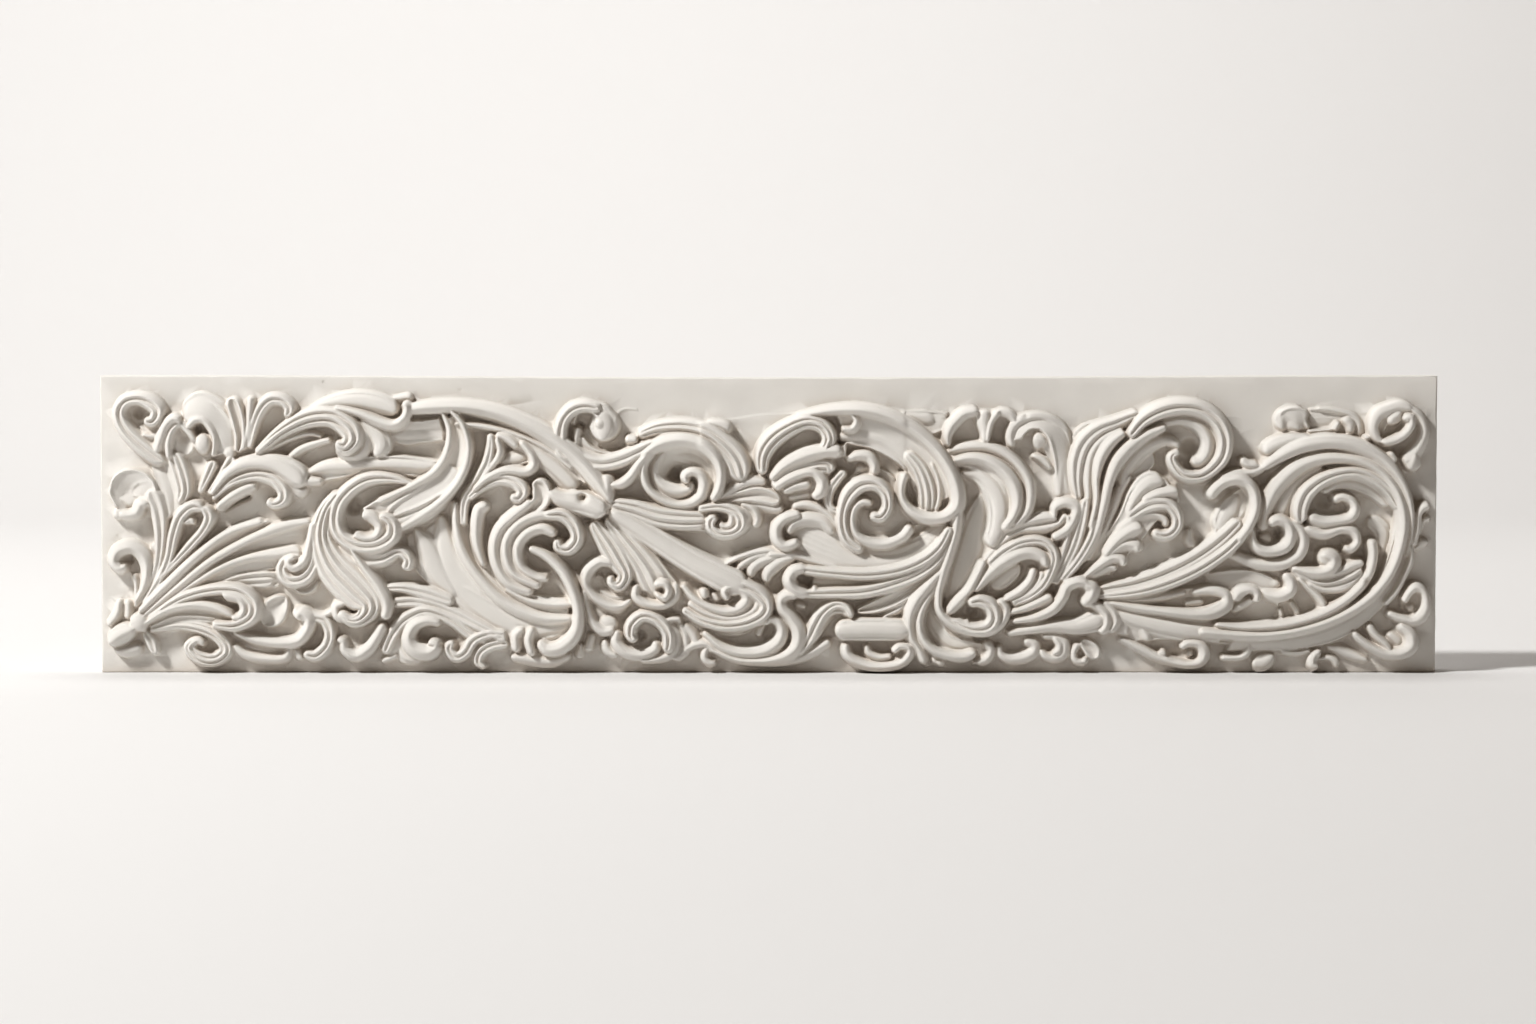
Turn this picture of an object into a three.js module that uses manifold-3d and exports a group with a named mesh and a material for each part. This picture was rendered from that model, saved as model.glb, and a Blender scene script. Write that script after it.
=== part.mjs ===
import * as THREE from "three";
import { mergeVertices } from "three/addons/utils/BufferGeometryUtils.js";
import Module from "manifold-3d";

// A length of plaster frieze moulding: a plain slab with running acanthus scrolls in high relief.
// Millimetres. The moulding runs along X, stands on its long lower edge and shows its carving to -Y.

const LENGTH = 1000;
const HEIGHT = 222.5;
const SLAB = 34;
// How far the boldest carving stands proud of the slab.
const RELIEF = 24;
// How far a strand of carving is rooted in the slab.
const ROOT = 3;
// A strand's flanks spread by this share of their height, as a casting's must to leave its mould.
const DRAFT = 0.3;

// The carving is set out on a grid: so many steps along the moulding, down it and out of it.
const STEPS_ALONG = 1335;
const STEPS_DOWN = 297;
const STEPS_OUT = 24;
const GRID_LEFT = 101;
const GRID_TOP = 376;
// The carving is drawn in a little towards the middle, so that its margins stay even.
const DRAWN_IN = 0.996;
// In steps: a plain strand slimmer than this has a simple ridge, and a station that strays
// less than this from the straight run past it is passed over.
const SLIM_BELOW = 8.5;
const STRAY = 1.6;

const PLASTER = { colour: 0xe2dbd0, roughness: 0.8 };

const DEPTH = SLAB + RELIEF;
const BACK = DEPTH / 2;
const FACE = BACK - SLAB;

// A strand of carving is a leaf, rib or stem that runs through a few stations:
// [name, profile, heights of its edge from first station to last, rise of its crest,
//  stations [steps along, steps down, half width in steps]]. A dome has one station with two radii.

// The fan of leaves that springs from the lower left corner.
const CORNER = [
  ["corner_volute", "fluted", [4, 8], 6, [[163, 462, 9], [143, 447, 9], [126, 430, 8], [119, 414, 7],
    [124, 402, 6.5], [137, 398, 6.5], [150, 402, 8], [158, 411, 8], [153, 421, 6], [144, 420, 4]]],
  ["lily_petal", "soft", [6, 9, 6], 7, [[186, 418, 5], [192, 403, 10], [207, 402, 12], [222, 414, 13],
    [229, 432, 12], [226, 452, 8]]],
  ["round_petal", "cup", [3], 6, [[158, 492, 18], [140, 488, 20], [124, 490, 19], [113, 494, 8]]],
  ["petal_stem", "fluted", [4, 7], 5, [[133, 607, 2], [148, 588, 4], [157, 562, 5], [160, 535, 7],
    [158, 510, 9], [150, 490, 10]]],
  ["centre_veins", "fluted", [5], 5, [[172, 452, 8], [179, 470, 9], [183, 490, 8], [178, 503, 5]]],
  ["crest_outer", "soft", [8, 12], 6, [[211, 494, 2], [228, 473, 6], [248, 463, 8], [272, 463, 10],
    [292, 472, 12], [304, 484, 9]]],
  ["fan_one", "round", [9, 10, 6], 6, [[138, 612, 3], [165, 585, 6], [195, 555, 7], [225, 532, 7],
    [262, 521, 4]]],
  ["fan_two", "round", [9, 8, 6], 5, [[142, 616, 3], [175, 588, 5], [208, 562, 6], [245, 541, 6],
    [282, 526, 5], [310, 521, 3]]],
  ["fan_three", "fluted", [9, 6], 5, [[146, 617, 3], [180, 592, 6], [215, 572, 8], [250, 560, 9],
    [300, 552, 8]]],
  ["fan_four", "fluted", [7, 5], 5, [[150, 617, 2], [185, 593, 8], [220, 577, 11], [272, 573, 12]]],
  ["hook_outer", "fluted", [8, 13], 6, [[148, 618, 2], [178, 599, 5], [208, 590, 6], [236, 590, 6],
    [252, 602, 7], [251, 616, 7], [235, 625, 6], [212, 624, 3]]],
  ["hook_lower_body", "fluted", [6], 4, [[148, 627, 2], [175, 616, 6], [205, 617, 7], [232, 622, 5]]],
  ["foot_curl", "fluted", [5, 8], 5, [[148, 630, 3], [178, 625, 5], [205, 630, 7], [221, 641, 7],
    [224, 652, 7], [213, 660, 7], [198, 658, 7], [188, 648, 6], [196, 640, 4], [203, 645, 3]]],
  ["root_bud", "round", [9, 6], 7, [[134, 628, 7], [120, 634, 10], [107, 644, 7]]],
  ["shell", "cup", [3], 4, [[262, 628, 10], [274, 616, 12], [283, 600, 5]]],
];

// The wave leaf, the first arch and the ribbon that hangs from it.
const CREST = [
  ["wave_crest", "fluted", [8, 15], 6, [[256, 453, 4], [279, 433, 6], [305, 419, 9], [330, 416, 10],
    [348, 426, 11], [353, 438, 10], [345, 447, 7], [337, 441, 3]]],
  ["wave_top_leaf", "soft", [6, 11], 5, [[298, 418, 3], [325, 405, 7], [355, 400, 10], [382, 404, 10],
    [398, 411, 6]]],
  ["wave_back_fold", "soft", [8], 5, [[360, 418, 7], [374, 430, 11], [381, 444, 11], [376, 456, 8]]],
  ["long_leaf", "soft", [5, 8], 4, [[303, 475, 2], [325, 467, 7], [355, 464, 9], [392, 463, 8],
    [430, 466, 7], [448, 470, 5]]],
  ["slot_leaf", "soft", [4], 3, [[390, 434, 10], [415, 430, 13], [445, 432, 8]]],
  ["main_arch", "round", [10, 12], 7, [[405, 409, 5], [440, 406, 7], [475, 407, 7], [510, 416, 8],
    [545, 433, 9], [575, 455, 9], [597, 480, 9], [611, 502, 7]]],
  ["main_arch_skirt", "soft", [8], 5, [[505, 433, 3], [530, 448, 8], [555, 467, 11], [576, 489, 10]]],
  ["ribbon_outer", "round", [14, 17, 12], 5, [[451, 409, 3], [463, 424, 4], [469, 445, 4.5],
    [466, 466, 5], [456, 485, 5], [438, 503, 7], [418, 517, 8], [398, 528, 5]]],
  ["ribbon_inner", "round", [12, 15, 12], 5, [[443, 412, 3], [450, 430, 5], [447, 452, 6],
    [436, 470, 6], [416, 483, 6], [396, 493, 7], [378, 502, 8]]],
  ["ribbon_web", "cup", [9, 10], 4, [[452, 415, 6], [460, 440, 10], [452, 470, 12], [432, 490, 13],
    [405, 508, 12], [388, 518, 9]]],
  ["eye_loop", "fluted", [8, 14], 6, [[412, 483, 2], [392, 478, 5], [370, 478, 7], [352, 487, 7],
    [339, 502, 7], [335, 520, 7], [341, 536, 7], [357, 545, 8], [376, 545, 8], [391, 536, 8],
    [392, 522, 6], [381, 514, 4]]],
  ["falling_leaf", "fluted", [9, 12], 6, [[338, 492, 5], [325, 512, 8], [321, 538, 11],
    [332, 565, 17], [353, 588, 19], [368, 604, 14], [362, 617, 8], [350, 620, 6], [340, 611, 4]]],
  ["side_leaf", "fluted", [8, 11], 5, [[338, 548, 9], [358, 557, 12], [380, 558, 9], [398, 551, 6],
    [408, 559, 5], [405, 570, 6]]],
];

// The row of leaves along the left foot, the great leaf and the second scroll.
const FOOT = [
  ["shell_scroll_rim", "fluted", [6, 8, 6], 5, [[383, 654, 5], [392, 634, 7], [405, 619, 7],
    [425, 611, 6], [450, 620, 6], [472, 636, 6], [492, 642, 4]]],
  ["low_leaf_left", "fluted", [7, 8], 4, [[386, 588, 4], [403, 588, 5], [425, 593, 7], [452, 602, 6]]],
  ["great_leaf_body", "fluted", [6, 10], 5, [[445, 548, 17], [462, 578, 24], [490, 605, 26],
    [525, 623, 22], [572, 622, 12]]],
  ["great_leaf_left", "soft", [4], 4, [[424, 540, 12], [436, 570, 16], [455, 597, 8]]],
  ["volute_two_outer", "round", [14, 12], 5, [[532, 500, 5], [516, 513, 6], [500, 528, 6],
    [494, 547, 6], [498, 567, 6], [510, 583, 6], [532, 592, 5]]],
  ["volute_two_middle", "round", [14, 13], 5, [[560, 515, 5], [540, 514, 6], [520, 522, 6],
    [507, 538, 6], [506, 557, 6], [515, 574, 5], [540, 586, 4]]],
  ["handle", "round", [14, 18, 16, 12], 6, [[529, 547, 4], [546, 555, 6], [562, 570, 6],
    [573, 590, 6], [578, 612, 7], [575, 632, 7], [562, 646, 7], [547, 649, 6], [538, 641, 4]]],
  ["handle_bowl_base", "soft", [6], 4, [[510, 657, 4], [530, 659, 7], [552, 661, 7], [570, 655, 4]]],
];

// The sprig under the arch, the knuckle and the stem that leaves it.
const SPRIG = [
  ["knuckle", "round", [14, 18], 6, [[549, 491, 4], [563, 499, 8], [585, 503, 11], [606, 511, 9]]],
  ["diagonal_stem", "round", [12, 14], 8, [[610, 510, 9], [628, 521, 10], [660, 541, 11],
    [690, 560, 12], [718, 575, 13], [745, 587, 13]]],
];

// The snail, the third scroll and the leaves on its stem.
const SNAIL = [
  ["snail_ball", "round", [9], 9, [[598, 411, 9], [603, 425, 13], [603, 441, 11]]],
  ["volute_three_outer", "fluted", [8, 12, 12], 5, [[638, 435, 5], [658, 428, 7], [682, 427, 9],
    [704, 432, 10], [722, 444, 11], [735, 460, 12], [741, 479, 11]]],
  ["volute_three_rim", "round", [14, 16, 15, 13], 6, [[642, 455, 5], [660, 443, 7], [682, 439, 7],
    [702, 444, 7], [716, 457, 6], [721, 472, 5], [719, 487, 5], [712, 500, 4]]],
  ["volute_three_cup", "soft", [3, 8], 3, [[668, 454, 6], [688, 455, 9], [704, 463, 10],
    [711, 476, 9], [708, 491, 7]]],
  ["cross_stem", "fluted", [12, 12, 11], 5, [[610, 503, 6], [632, 508, 9], [656, 516, 11],
    [682, 519, 11], [706, 519, 9]]],
  ["cross_leaf_two", "cup", [9], 4, [[712, 503, 2], [738, 496, 5], [760, 494, 8], [780, 500, 6]]],
];

// The hanging pods and the scroll at the end of the stem.
const PODS = [
  ["pod_body", "fluted", [10, 10, 8], 6, [[606, 517, 5], [628, 543, 11], [645, 566, 15],
    [655, 586, 18], [656, 596, 17]]],
  ["twin_leaf", "fluted", [10, 12], 6, [[592, 520, 6], [608, 543, 11], [618, 560, 11], [625, 574, 8],
    [619, 585, 6], [611, 582, 4], [611, 575, 3]]],
  ["volute_four_outer", "fluted", [14, 14, 12, 9], 6, [[736, 583, 8], [756, 592, 8], [766, 604, 7],
    [761, 615, 7], [744, 623, 6], [722, 625, 6], [699, 619, 5], [682, 608, 4]]],
];

// The fluted wheel and the sweep along the middle of the foot.
const WHEEL = [
  ["low_sweep_edge", "round", [7], 4, [[745, 662, 3], [775, 663, 4], [800, 657, 6], [819, 648, 5],
    [830, 641, 4]]],
  ["log", "round", [12], 8, [[836, 630, 9], [860, 629, 11], [885, 629, 11], [908, 630, 11]]],
];

// The twin arch, the fifth scroll and the sheaf of long leaves.
const TONGUE = [
  ["twin_arch", "fluted", [9, 13, 14], 6, [[762, 474, 5], [763, 455, 8], [772, 440, 9], [788, 428, 8],
    [806, 421, 7], [822, 425, 7], [829, 437, 7], [824, 450, 5]]],
  ["arch_two_body", "soft", [10, 12], 5, [[838, 437, 5], [858, 434, 9], [880, 437, 11],
    [900, 449, 11], [914, 466, 9], [922, 486, 8]]],
  ["arch_two_rim", "round", [9, 14, 15, 15, 13, 11], 6, [[796, 417, 4], [828, 410, 5], [860, 409, 6],
    [885, 414, 6], [906, 424, 6], [925, 438, 6], [940, 454, 6], [951, 472, 6], [957, 490, 7],
    [956, 506, 7], [944, 516, 6], [926, 517, 6], [911, 510, 5], [902, 498, 4], [901, 486, 4],
    [905, 472, 4]]],
  ["tongue_finger", "round", [10, 15], 6, [[770, 479, 4], [785, 465, 7], [805, 455, 8], [825, 450, 7],
    [841, 450, 7]]],
  ["great_sheet", "soft", [8, 10], 5, [[806, 524, 8], [826, 543, 13], [855, 554, 13], [890, 554, 10],
    [922, 543, 9], [943, 525, 6]]],
  ["tongue_top", "fluted", [14], 5, [[803, 569, 5], [830, 572, 5], [865, 574, 6], [897, 570, 6],
    [922, 560, 6], [939, 546, 5], [950, 526, 4]]],
  ["tongue_bottom", "fluted", [13, 12], 5, [[805, 593, 4], [830, 592, 6], [862, 591, 7],
    [891, 584, 7], [917, 574, 7], [936, 560, 6], [948, 541, 4]]],
  ["tongue_floor", "soft", [8], 2, [[812, 582, 7], [850, 582, 7], [890, 578, 6]]],
];

// The wheel leaf, the long ring and the seed pod.
const BOWL = [
  ["cowl_tail", "soft", [8, 6], 5, [[1044, 436, 8], [1055, 448, 11], [1060, 464, 8], [1060, 482, 6],
    [1060, 498, 5]]],
  ["wheel_second", "round", [9, 12, 13, 13], 5, [[951, 461, 4], [968, 457, 5], [985, 459, 6],
    [1001, 468, 7], [1013, 483, 7], [1017, 500, 6], [1013, 515, 5], [1003, 529, 4]]],
  ["wheel_third", "soft", [4, 8, 11, 11], 4, [[960, 472, 5], [978, 474, 8], [992, 486, 11],
    [999, 504, 11], [998, 526, 10], [990, 546, 8]]],
  ["inner_sheet", "soft", [6], 3, [[974, 536, 9], [967, 560, 13], [959, 582, 13], [952, 598, 7]]],
  ["pod_shell_three", "round", [10, 14, 14], 5, [[974, 591, 4], [990, 572, 6], [1008, 558, 7],
    [1027, 551, 7], [1042, 556, 6], [1046, 566, 4]]],
  ["pod_floor", "soft", [7], 2, [[992, 588, 8], [1006, 574, 11], [1020, 564, 8]]],
  ["s_sheet", "round", [11, 12, 12, 10, 8], 5, [[946, 566, 4], [929, 584, 6], [915, 602, 7],
    [909, 620, 6], [911, 637, 6], [920, 651, 6], [925, 664, 5]]],
  ["s_bowl", "soft", [2, 4, 6], 2, [[930, 606, 5], [938, 628, 9], [954, 643, 10], [975, 645, 8]]],
  ["finger_three", "round", [9, 12], 5, [[1007, 633, 3], [1030, 629, 5], [1055, 626, 6],
    [1078, 626, 8], [1094, 622, 10]]],
];

// The plume, its spiral and the fringed bulb.
const PLUME = [
  ["plume_one", "fluted", [6, 8, 9, 9], 4, [[1079, 500, 4], [1076, 480, 6], [1077, 460, 8],
    [1084, 442, 8], [1098, 429, 7], [1118, 421, 6], [1138, 412, 4]]],
  ["plume_two", "round", [7, 9], 4, [[1088, 498, 4], [1088, 475, 6], [1092, 453, 6], [1104, 438, 6],
    [1122, 428, 4]]],
  ["plume_four", "round", [11, 14, 14], 5, [[1097, 530, 4], [1103, 505, 5], [1108, 483, 5],
    [1116, 462, 6], [1129, 446, 6], [1146, 434, 5], [1165, 426, 3]]],
  ["plume_under", "soft", [7, 7, 8], 4, [[1122, 487, 4], [1126, 468, 8], [1137, 452, 10],
    [1152, 443, 8], [1167, 440, 6], [1179, 447, 4]]],
  ["stem_two", "fluted", [10], 4, [[1086, 498, 4], [1082, 520, 6], [1075, 545, 6], [1064, 568, 5],
    [1055, 584, 3]]],
  ["spiral_outer", "fluted", [13, 14, 13, 12, 11, 11, 11], 6, [[1128, 436, 5], [1142, 420, 7],
    [1160, 410, 8], [1180, 406, 8], [1200, 409, 8], [1216, 420, 8], [1224, 437, 8], [1222, 455, 8],
    [1211, 469, 7], [1197, 476, 6], [1182, 474, 6], [1173, 464, 5], [1171, 455, 4], [1179, 451, 3]]],
  ["bulb_petal", "round", [8, 9], 6, [[1127, 514, 5], [1136, 496, 10], [1149, 483, 12],
    [1163, 481, 8]]],
  ["bulb_finger_one", "round", [9, 12], 6, [[1104, 556, 6], [1118, 539, 8], [1132, 529, 8],
    [1142, 527, 6]]],
];

// The long sweep and the great ring scroll on the right.
const SWEEP = [
  ["sweep_upper", "fluted", [8, 9, 10, 11], 5, [[1105, 588, 5], [1135, 583, 7], [1165, 573, 8],
    [1195, 558, 8], [1220, 540, 8], [1240, 520, 6]]],
  ["sweep_lower", "fluted", [11, 13, 14], 5, [[1106, 595, 4], [1140, 591, 5], [1170, 582, 6],
    [1200, 568, 6], [1226, 550, 6], [1246, 530, 5]]],
  ["spoon", "round", [8, 11, 13, 13, 11, 9], 4, [[1192, 592, 4], [1210, 590, 5], [1225, 594, 5],
    [1226, 604, 7], [1213, 612, 7], [1195, 614, 5], [1165, 611, 4], [1135, 607, 4], [1108, 602, 3]]],
  ["lower_sheet", "soft", [6, 8, 9], 5, [[1112, 612, 8], [1145, 621, 12], [1185, 629, 12],
    [1225, 633, 9]]],
  ["ring_eye_floor", "soft", [8, 7, 5], 3, [[1220, 532, 11], [1230, 511, 12], [1238, 495, 7]]],
  ["ring_one", "round", [12, 15, 15, 14, 13, 12, 12], 5, [[1262, 467, 4], [1280, 455, 6],
    [1302, 445, 7], [1330, 441, 7], [1358, 446, 7], [1382, 459, 6], [1399, 479, 5], [1409, 503, 5],
    [1412, 530, 4], [1407, 557, 4], [1398, 580, 4], [1382, 601, 4], [1360, 622, 4], [1330, 639, 4],
    [1300, 646, 4], [1268, 648, 4]]],
  ["ring_two", "round", [8, 12, 13, 13, 13, 12, 12, 13], 5, [[1262, 530, 5], [1267, 505, 7],
    [1278, 484, 8], [1295, 468, 8], [1315, 459, 7], [1340, 457, 6], [1364, 462, 6], [1384, 475, 6],
    [1397, 494, 6], [1403, 518, 6], [1401, 545, 7], [1391, 572, 8], [1373, 597, 9], [1346, 617, 9],
    [1311, 631, 9], [1272, 637, 9], [1238, 636, 8]]],
  ["ring_two_bank", "soft", [7, 8], 3, [[1278, 520, 8], [1286, 498, 10], [1300, 478, 10],
    [1322, 466, 7]]],
  ["ring_three", "fluted", [13, 14, 14, 13, 11], 5, [[1300, 522, 7], [1300, 507, 8], [1306, 492, 8],
    [1320, 480, 7], [1338, 473, 6], [1356, 472, 6], [1374, 479, 6], [1388, 491, 5], [1398, 508, 4]]],
  ["ring_three_wall", "soft", [10, 9, 8, 7, 6], 2, [[1322, 491, 3], [1336, 483, 6], [1355, 482, 8],
    [1375, 490, 8], [1391, 505, 6]]],
  ["ring_four", "round", [12, 12, 12, 11], 5, [[1371, 539, 5], [1373, 556, 5], [1368, 575, 5],
    [1355, 592, 5], [1335, 607, 5], [1310, 618, 4], [1280, 625, 4], [1245, 627, 4], [1215, 624, 3]]],
];

// The small scrolls in the ring, and the leaves at the right end.
const NEST = [
  ["nest_outer", "round", [12, 12, 10, 8, 6], 4, [[1291, 520, 5], [1301, 531, 6], [1303, 545, 6],
    [1296, 557, 6], [1280, 564, 6], [1258, 563, 6], [1238, 556, 5], [1225, 553, 3]]],
  ["pearl_body", "dome", [11], 9, [[1326, 560, 13, 12]]],
  ["hand_middle", "fluted", [8, 10], 5, [[1306, 579, 5], [1326, 583, 8], [1348, 577, 10],
    [1362, 568, 6]]],
];

const MOTIFS = { CORNER, CREST, FOOT, SPRIG, SNAIL, PODS,
  WHEEL, TONGUE, BOWL, PLUME, SWEEP, NEST };

// Points across a strand's crest: place from edge to edge, -1 to 1, and share of the crest's rise.
const CRESTS = {
  round: [-1, -0.6, 0, 0.6, 1].map((s) => [s, Math.sqrt(1 - s * s)]),
  soft: [-1, -0.55, 0, 0.55, 1].map((s) => [s, 1 - s * s]),
  cup: [[-1, 0], [-0.75, 1], [0, 0.3], [0.75, 1], [1, 0]],
  fluted: [[-1, 0], [-0.6, 0.9], [0, 0.5], [0.6, 0.9], [1, 0]],
  slim: [[-1, 0], [0, 1], [1, 0]],
};

const STEP = Math.min(LENGTH / STEPS_ALONG, HEIGHT / STEPS_DOWN);
const OUT = RELIEF / STEPS_OUT;

function along(steps) {
  return ((steps - GRID_LEFT) / STEPS_ALONG - 0.5) * LENGTH * DRAWN_IN;
}

function up(steps) {
  return HEIGHT / 2 + (0.5 - (steps - GRID_TOP) / STEPS_DOWN) * HEIGHT * DRAWN_IN;
}

// The height of a strand's edge at a share t of its stations.
function edgeHeight(heights, t) {
  const place = t * (heights.length - 1);
  const before = Math.floor(place);
  const after = Math.min(before + 1, heights.length - 1);
  return THREE.MathUtils.lerp(heights[before], heights[after], place - before) * OUT;
}

// A station that strays less than STRAY steps from the straight run past it is passed over.
function kept(stations) {
  const first = stations[0];
  const last = stations[stations.length - 1];
  let worst = 0;
  let strays = STRAY;
  for (let i = 1; i < stations.length - 1; i += 1) {
    const stray = strayFrom(stations[i], first, last);
    if (stray > strays) {
      worst = i;
      strays = stray;
    }
  }
  if (worst === 0) {
    return [first, last];
  }
  return [...kept(stations.slice(0, worst + 1)).slice(0, -1), ...kept(stations.slice(worst))];
}

// How far a station lies from the run between two others, its half width counted as a third way.
function strayFrom(station, from, to) {
  const line = new THREE.Line3(new THREE.Vector3(...from), new THREE.Vector3(...to));
  const point = new THREE.Vector3(...station);
  return line.closestPointToPoint(point, true, new THREE.Vector3()).distanceTo(point);
}

// Stations as points on the slab's face, each with its half width and the strand's heading there.
function laidOut(stations) {
  const points = stations.map(([x, y]) => new THREE.Vector2(along(x), up(y)));
  return stations.map(([, , halfWidth], i) => {
    const before = points[Math.max(i - 1, 0)];
    const after = points[Math.min(i + 1, points.length - 1)];
    const heading = after.clone().sub(before).normalize();
    return { at: points[i], half: halfWidth * STEP, heading };
  });
}

// One section of a strand: from its foot on one side over the crest to its foot on the other.
function section({ at, half, heading }, edge, rise, crest) {
  const side = new THREE.Vector2(-heading.y, heading.x);
  const foot = half + edge * DRAFT;
  const place = (across, height) => {
    const p = at.clone().addScaledVector(side, across);
    return [p.x, FACE - height, p.y];
  };
  const over = crest.map(([s, share]) => place(s * half, edge + rise * share));
  return [place(-foot, -ROOT), ...over, place(foot, -ROOT)];
}

function strandGeometry([, profile, heights, rise, stations]) {
  const widest = Math.max(...stations.map((station) => station[2]));
  const slim = (profile === "round" || profile === "soft") && widest < SLIM_BELOW;
  const crest = CRESTS[slim ? "slim" : profile];
  const laid = laidOut(kept(stations));
  const last = laid.length - 1;
  const rings = laid.map((station, i) => {
    return section(station, edgeHeight(heights, i / last), rise * OUT, crest);
  });
  const size = rings[0].length;
  const vertices = rings.flat();
  const faces = [];
  for (let i = 0; i < last; i += 1) {
    for (let j = 0; j < size; j += 1) {
      const a = i * size + j;
      const b = i * size + ((j + 1) % size);
      faces.push([a, a + size, b], [b, a + size, b + size]);
    }
  }
  for (const [i, way] of [[0, -1], [last, 1]]) {
    const { at, half, heading } = laid[i];
    const reach = half * 0.6 + edgeHeight(heights, i / last) * DRAFT;
    const nose = at.clone().addScaledVector(heading, way * reach);
    vertices.push([nose.x, FACE + ROOT, nose.y]);
    const tip = vertices.length - 1;
    for (let j = 0; j < size; j += 1) {
      const a = i * size + j;
      const b = i * size + ((j + 1) % size);
      faces.push(way < 0 ? [a, b, tip] : [b, a, tip]);
    }
  }
  return geometryOf(vertices, faces);
}

function domeGeometry([, , heights, rise, [[x, y, halfAlong, halfUp]]]) {
  const rings = [[1, 0], [0.72, 0.7]];
  const sides = 8;
  const vertices = [[along(x), FACE + ROOT, up(y)]];
  const faces = [];
  const level = [-ROOT, ...rings.map(([, share]) => heights[0] * OUT + rise * OUT * share)];
  const spread = [1 + heights[0] * OUT * DRAFT / (halfAlong * STEP), ...rings.map(([r]) => r)];
  for (let k = 0; k < level.length; k += 1) {
    for (let j = 0; j < sides; j += 1) {
      const angle = (2 * Math.PI * j) / sides;
      vertices.push([
        along(x) + Math.cos(angle) * halfAlong * STEP * spread[k],
        FACE - level[k],
        up(y) + Math.sin(angle) * halfUp * STEP * spread[k],
      ]);
    }
  }
  vertices.push([along(x), FACE - (heights[0] + rise) * OUT, up(y)]);
  const top = vertices.length - 1;
  for (let j = 0; j < sides; j += 1) {
    const next = (j + 1) % sides;
    faces.push([0, 1 + next, 1 + j]);
    for (let k = 0; k < level.length - 1; k += 1) {
      const a = 1 + k * sides + j;
      const b = 1 + k * sides + next;
      faces.push([a, b, a + sides], [b, b + sides, a + sides]);
    }
    const rim = 1 + (level.length - 1) * sides;
    faces.push([rim + j, rim + next, top]);
  }
  return geometryOf(vertices, faces);
}

function geometryOf(vertices, faces) {
  const geometry = new THREE.BufferGeometry();
  geometry.setAttribute("position", new THREE.Float32BufferAttribute(vertices.flat(), 3));
  geometry.setIndex(faces.flat());
  return geometry;
}

const wasm = await Module();
wasm.setup();

function solid(geometry) {
  geometry.deleteAttribute("normal");
  geometry.deleteAttribute("uv");
  const merged = mergeVertices(geometry, 1e-4);
  const mesh = new wasm.Mesh({
    numProp: 3,
    vertProperties: Float32Array.from(merged.attributes.position.array),
    triVerts: Uint32Array.from(merged.index.array),
  });
  return new wasm.Manifold(mesh);
}

// Half of the list joined to the other half, and so on down, keeps each join small.
function joined(solids) {
  if (solids.length === 1) {
    return solids[0];
  }
  const middle = Math.ceil(solids.length / 2);
  return joined(solids.slice(0, middle)).add(joined(solids.slice(middle)));
}

function box(depth, middleY) {
  const geometry = new THREE.BoxGeometry(LENGTH, depth, HEIGHT);
  geometry.translate(0, middleY, HEIGHT / 2);
  return solid(geometry);
}

function mouldingGeometry() {
  const strands = Object.values(MOTIFS).flat().map((strand) => {
    return solid(strand[1] === "dome" ? domeGeometry(strand) : strandGeometry(strand));
  });
  const slab = box(SLAB, BACK - SLAB / 2);
  // What a strand's flanks spread past the slab's edges is cut off flush.
  const carving = joined(strands).intersect(box(DEPTH, 0));
  const { vertProperties, triVerts } = slab.add(carving).getMesh();
  const geometry = new THREE.BufferGeometry();
  geometry.setAttribute("position", new THREE.Float32BufferAttribute(vertProperties, 3));
  geometry.setIndex(Array.from(triVerts));
  geometry.computeVertexNormals();
  return geometry;
}

function buildMoulding() {
  const material = new THREE.MeshStandardMaterial({
    color: PLASTER.colour,
    roughness: PLASTER.roughness,
    metalness: 0,
    flatShading: true,
  });
  const moulding = new THREE.Mesh(mouldingGeometry(), material);
  moulding.name = "relief_panel";
  const group = new THREE.Group();
  group.name = "crown_moulding";
  group.add(moulding);
  return group;
}

export default buildMoulding();
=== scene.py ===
"""A length of white plaster frieze, cast in one piece and stood on its long lower edge.

A plain slab carries running acanthus scrolls in high relief. The carving is worked out as one
height field. Every rib, stem and rim is a strand that runs through a few stations, and every broad
leaf is a sheet ruled between two edges. The tallest wins at each place, as when clay is laid on
clay.
"""

import math

import bpy
import numpy as np
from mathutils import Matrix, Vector


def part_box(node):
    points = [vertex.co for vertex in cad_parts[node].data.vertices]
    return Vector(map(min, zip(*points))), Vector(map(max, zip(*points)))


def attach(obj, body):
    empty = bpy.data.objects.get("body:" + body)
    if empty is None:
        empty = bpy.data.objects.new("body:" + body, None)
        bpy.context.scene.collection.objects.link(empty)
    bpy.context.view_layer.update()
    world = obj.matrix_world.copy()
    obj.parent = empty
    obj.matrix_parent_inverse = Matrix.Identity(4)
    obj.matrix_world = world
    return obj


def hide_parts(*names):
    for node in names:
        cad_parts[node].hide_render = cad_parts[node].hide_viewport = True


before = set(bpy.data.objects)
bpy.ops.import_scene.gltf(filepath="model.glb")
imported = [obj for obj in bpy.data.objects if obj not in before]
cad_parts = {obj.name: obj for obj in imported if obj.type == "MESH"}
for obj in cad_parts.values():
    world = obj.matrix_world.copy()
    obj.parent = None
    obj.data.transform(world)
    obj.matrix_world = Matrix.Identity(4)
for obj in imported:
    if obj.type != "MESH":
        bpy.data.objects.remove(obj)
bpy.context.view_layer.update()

MM = 0.001

# ---- The slab, in millimetres, from the frame -------------------------------------------------

low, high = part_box("relief_panel")
LENGTH = (high.x - low.x) / MM
HEIGHT = (high.z - low.z) / MM
BACK = high.y / MM
CREST_MOST = low.y / MM
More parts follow.
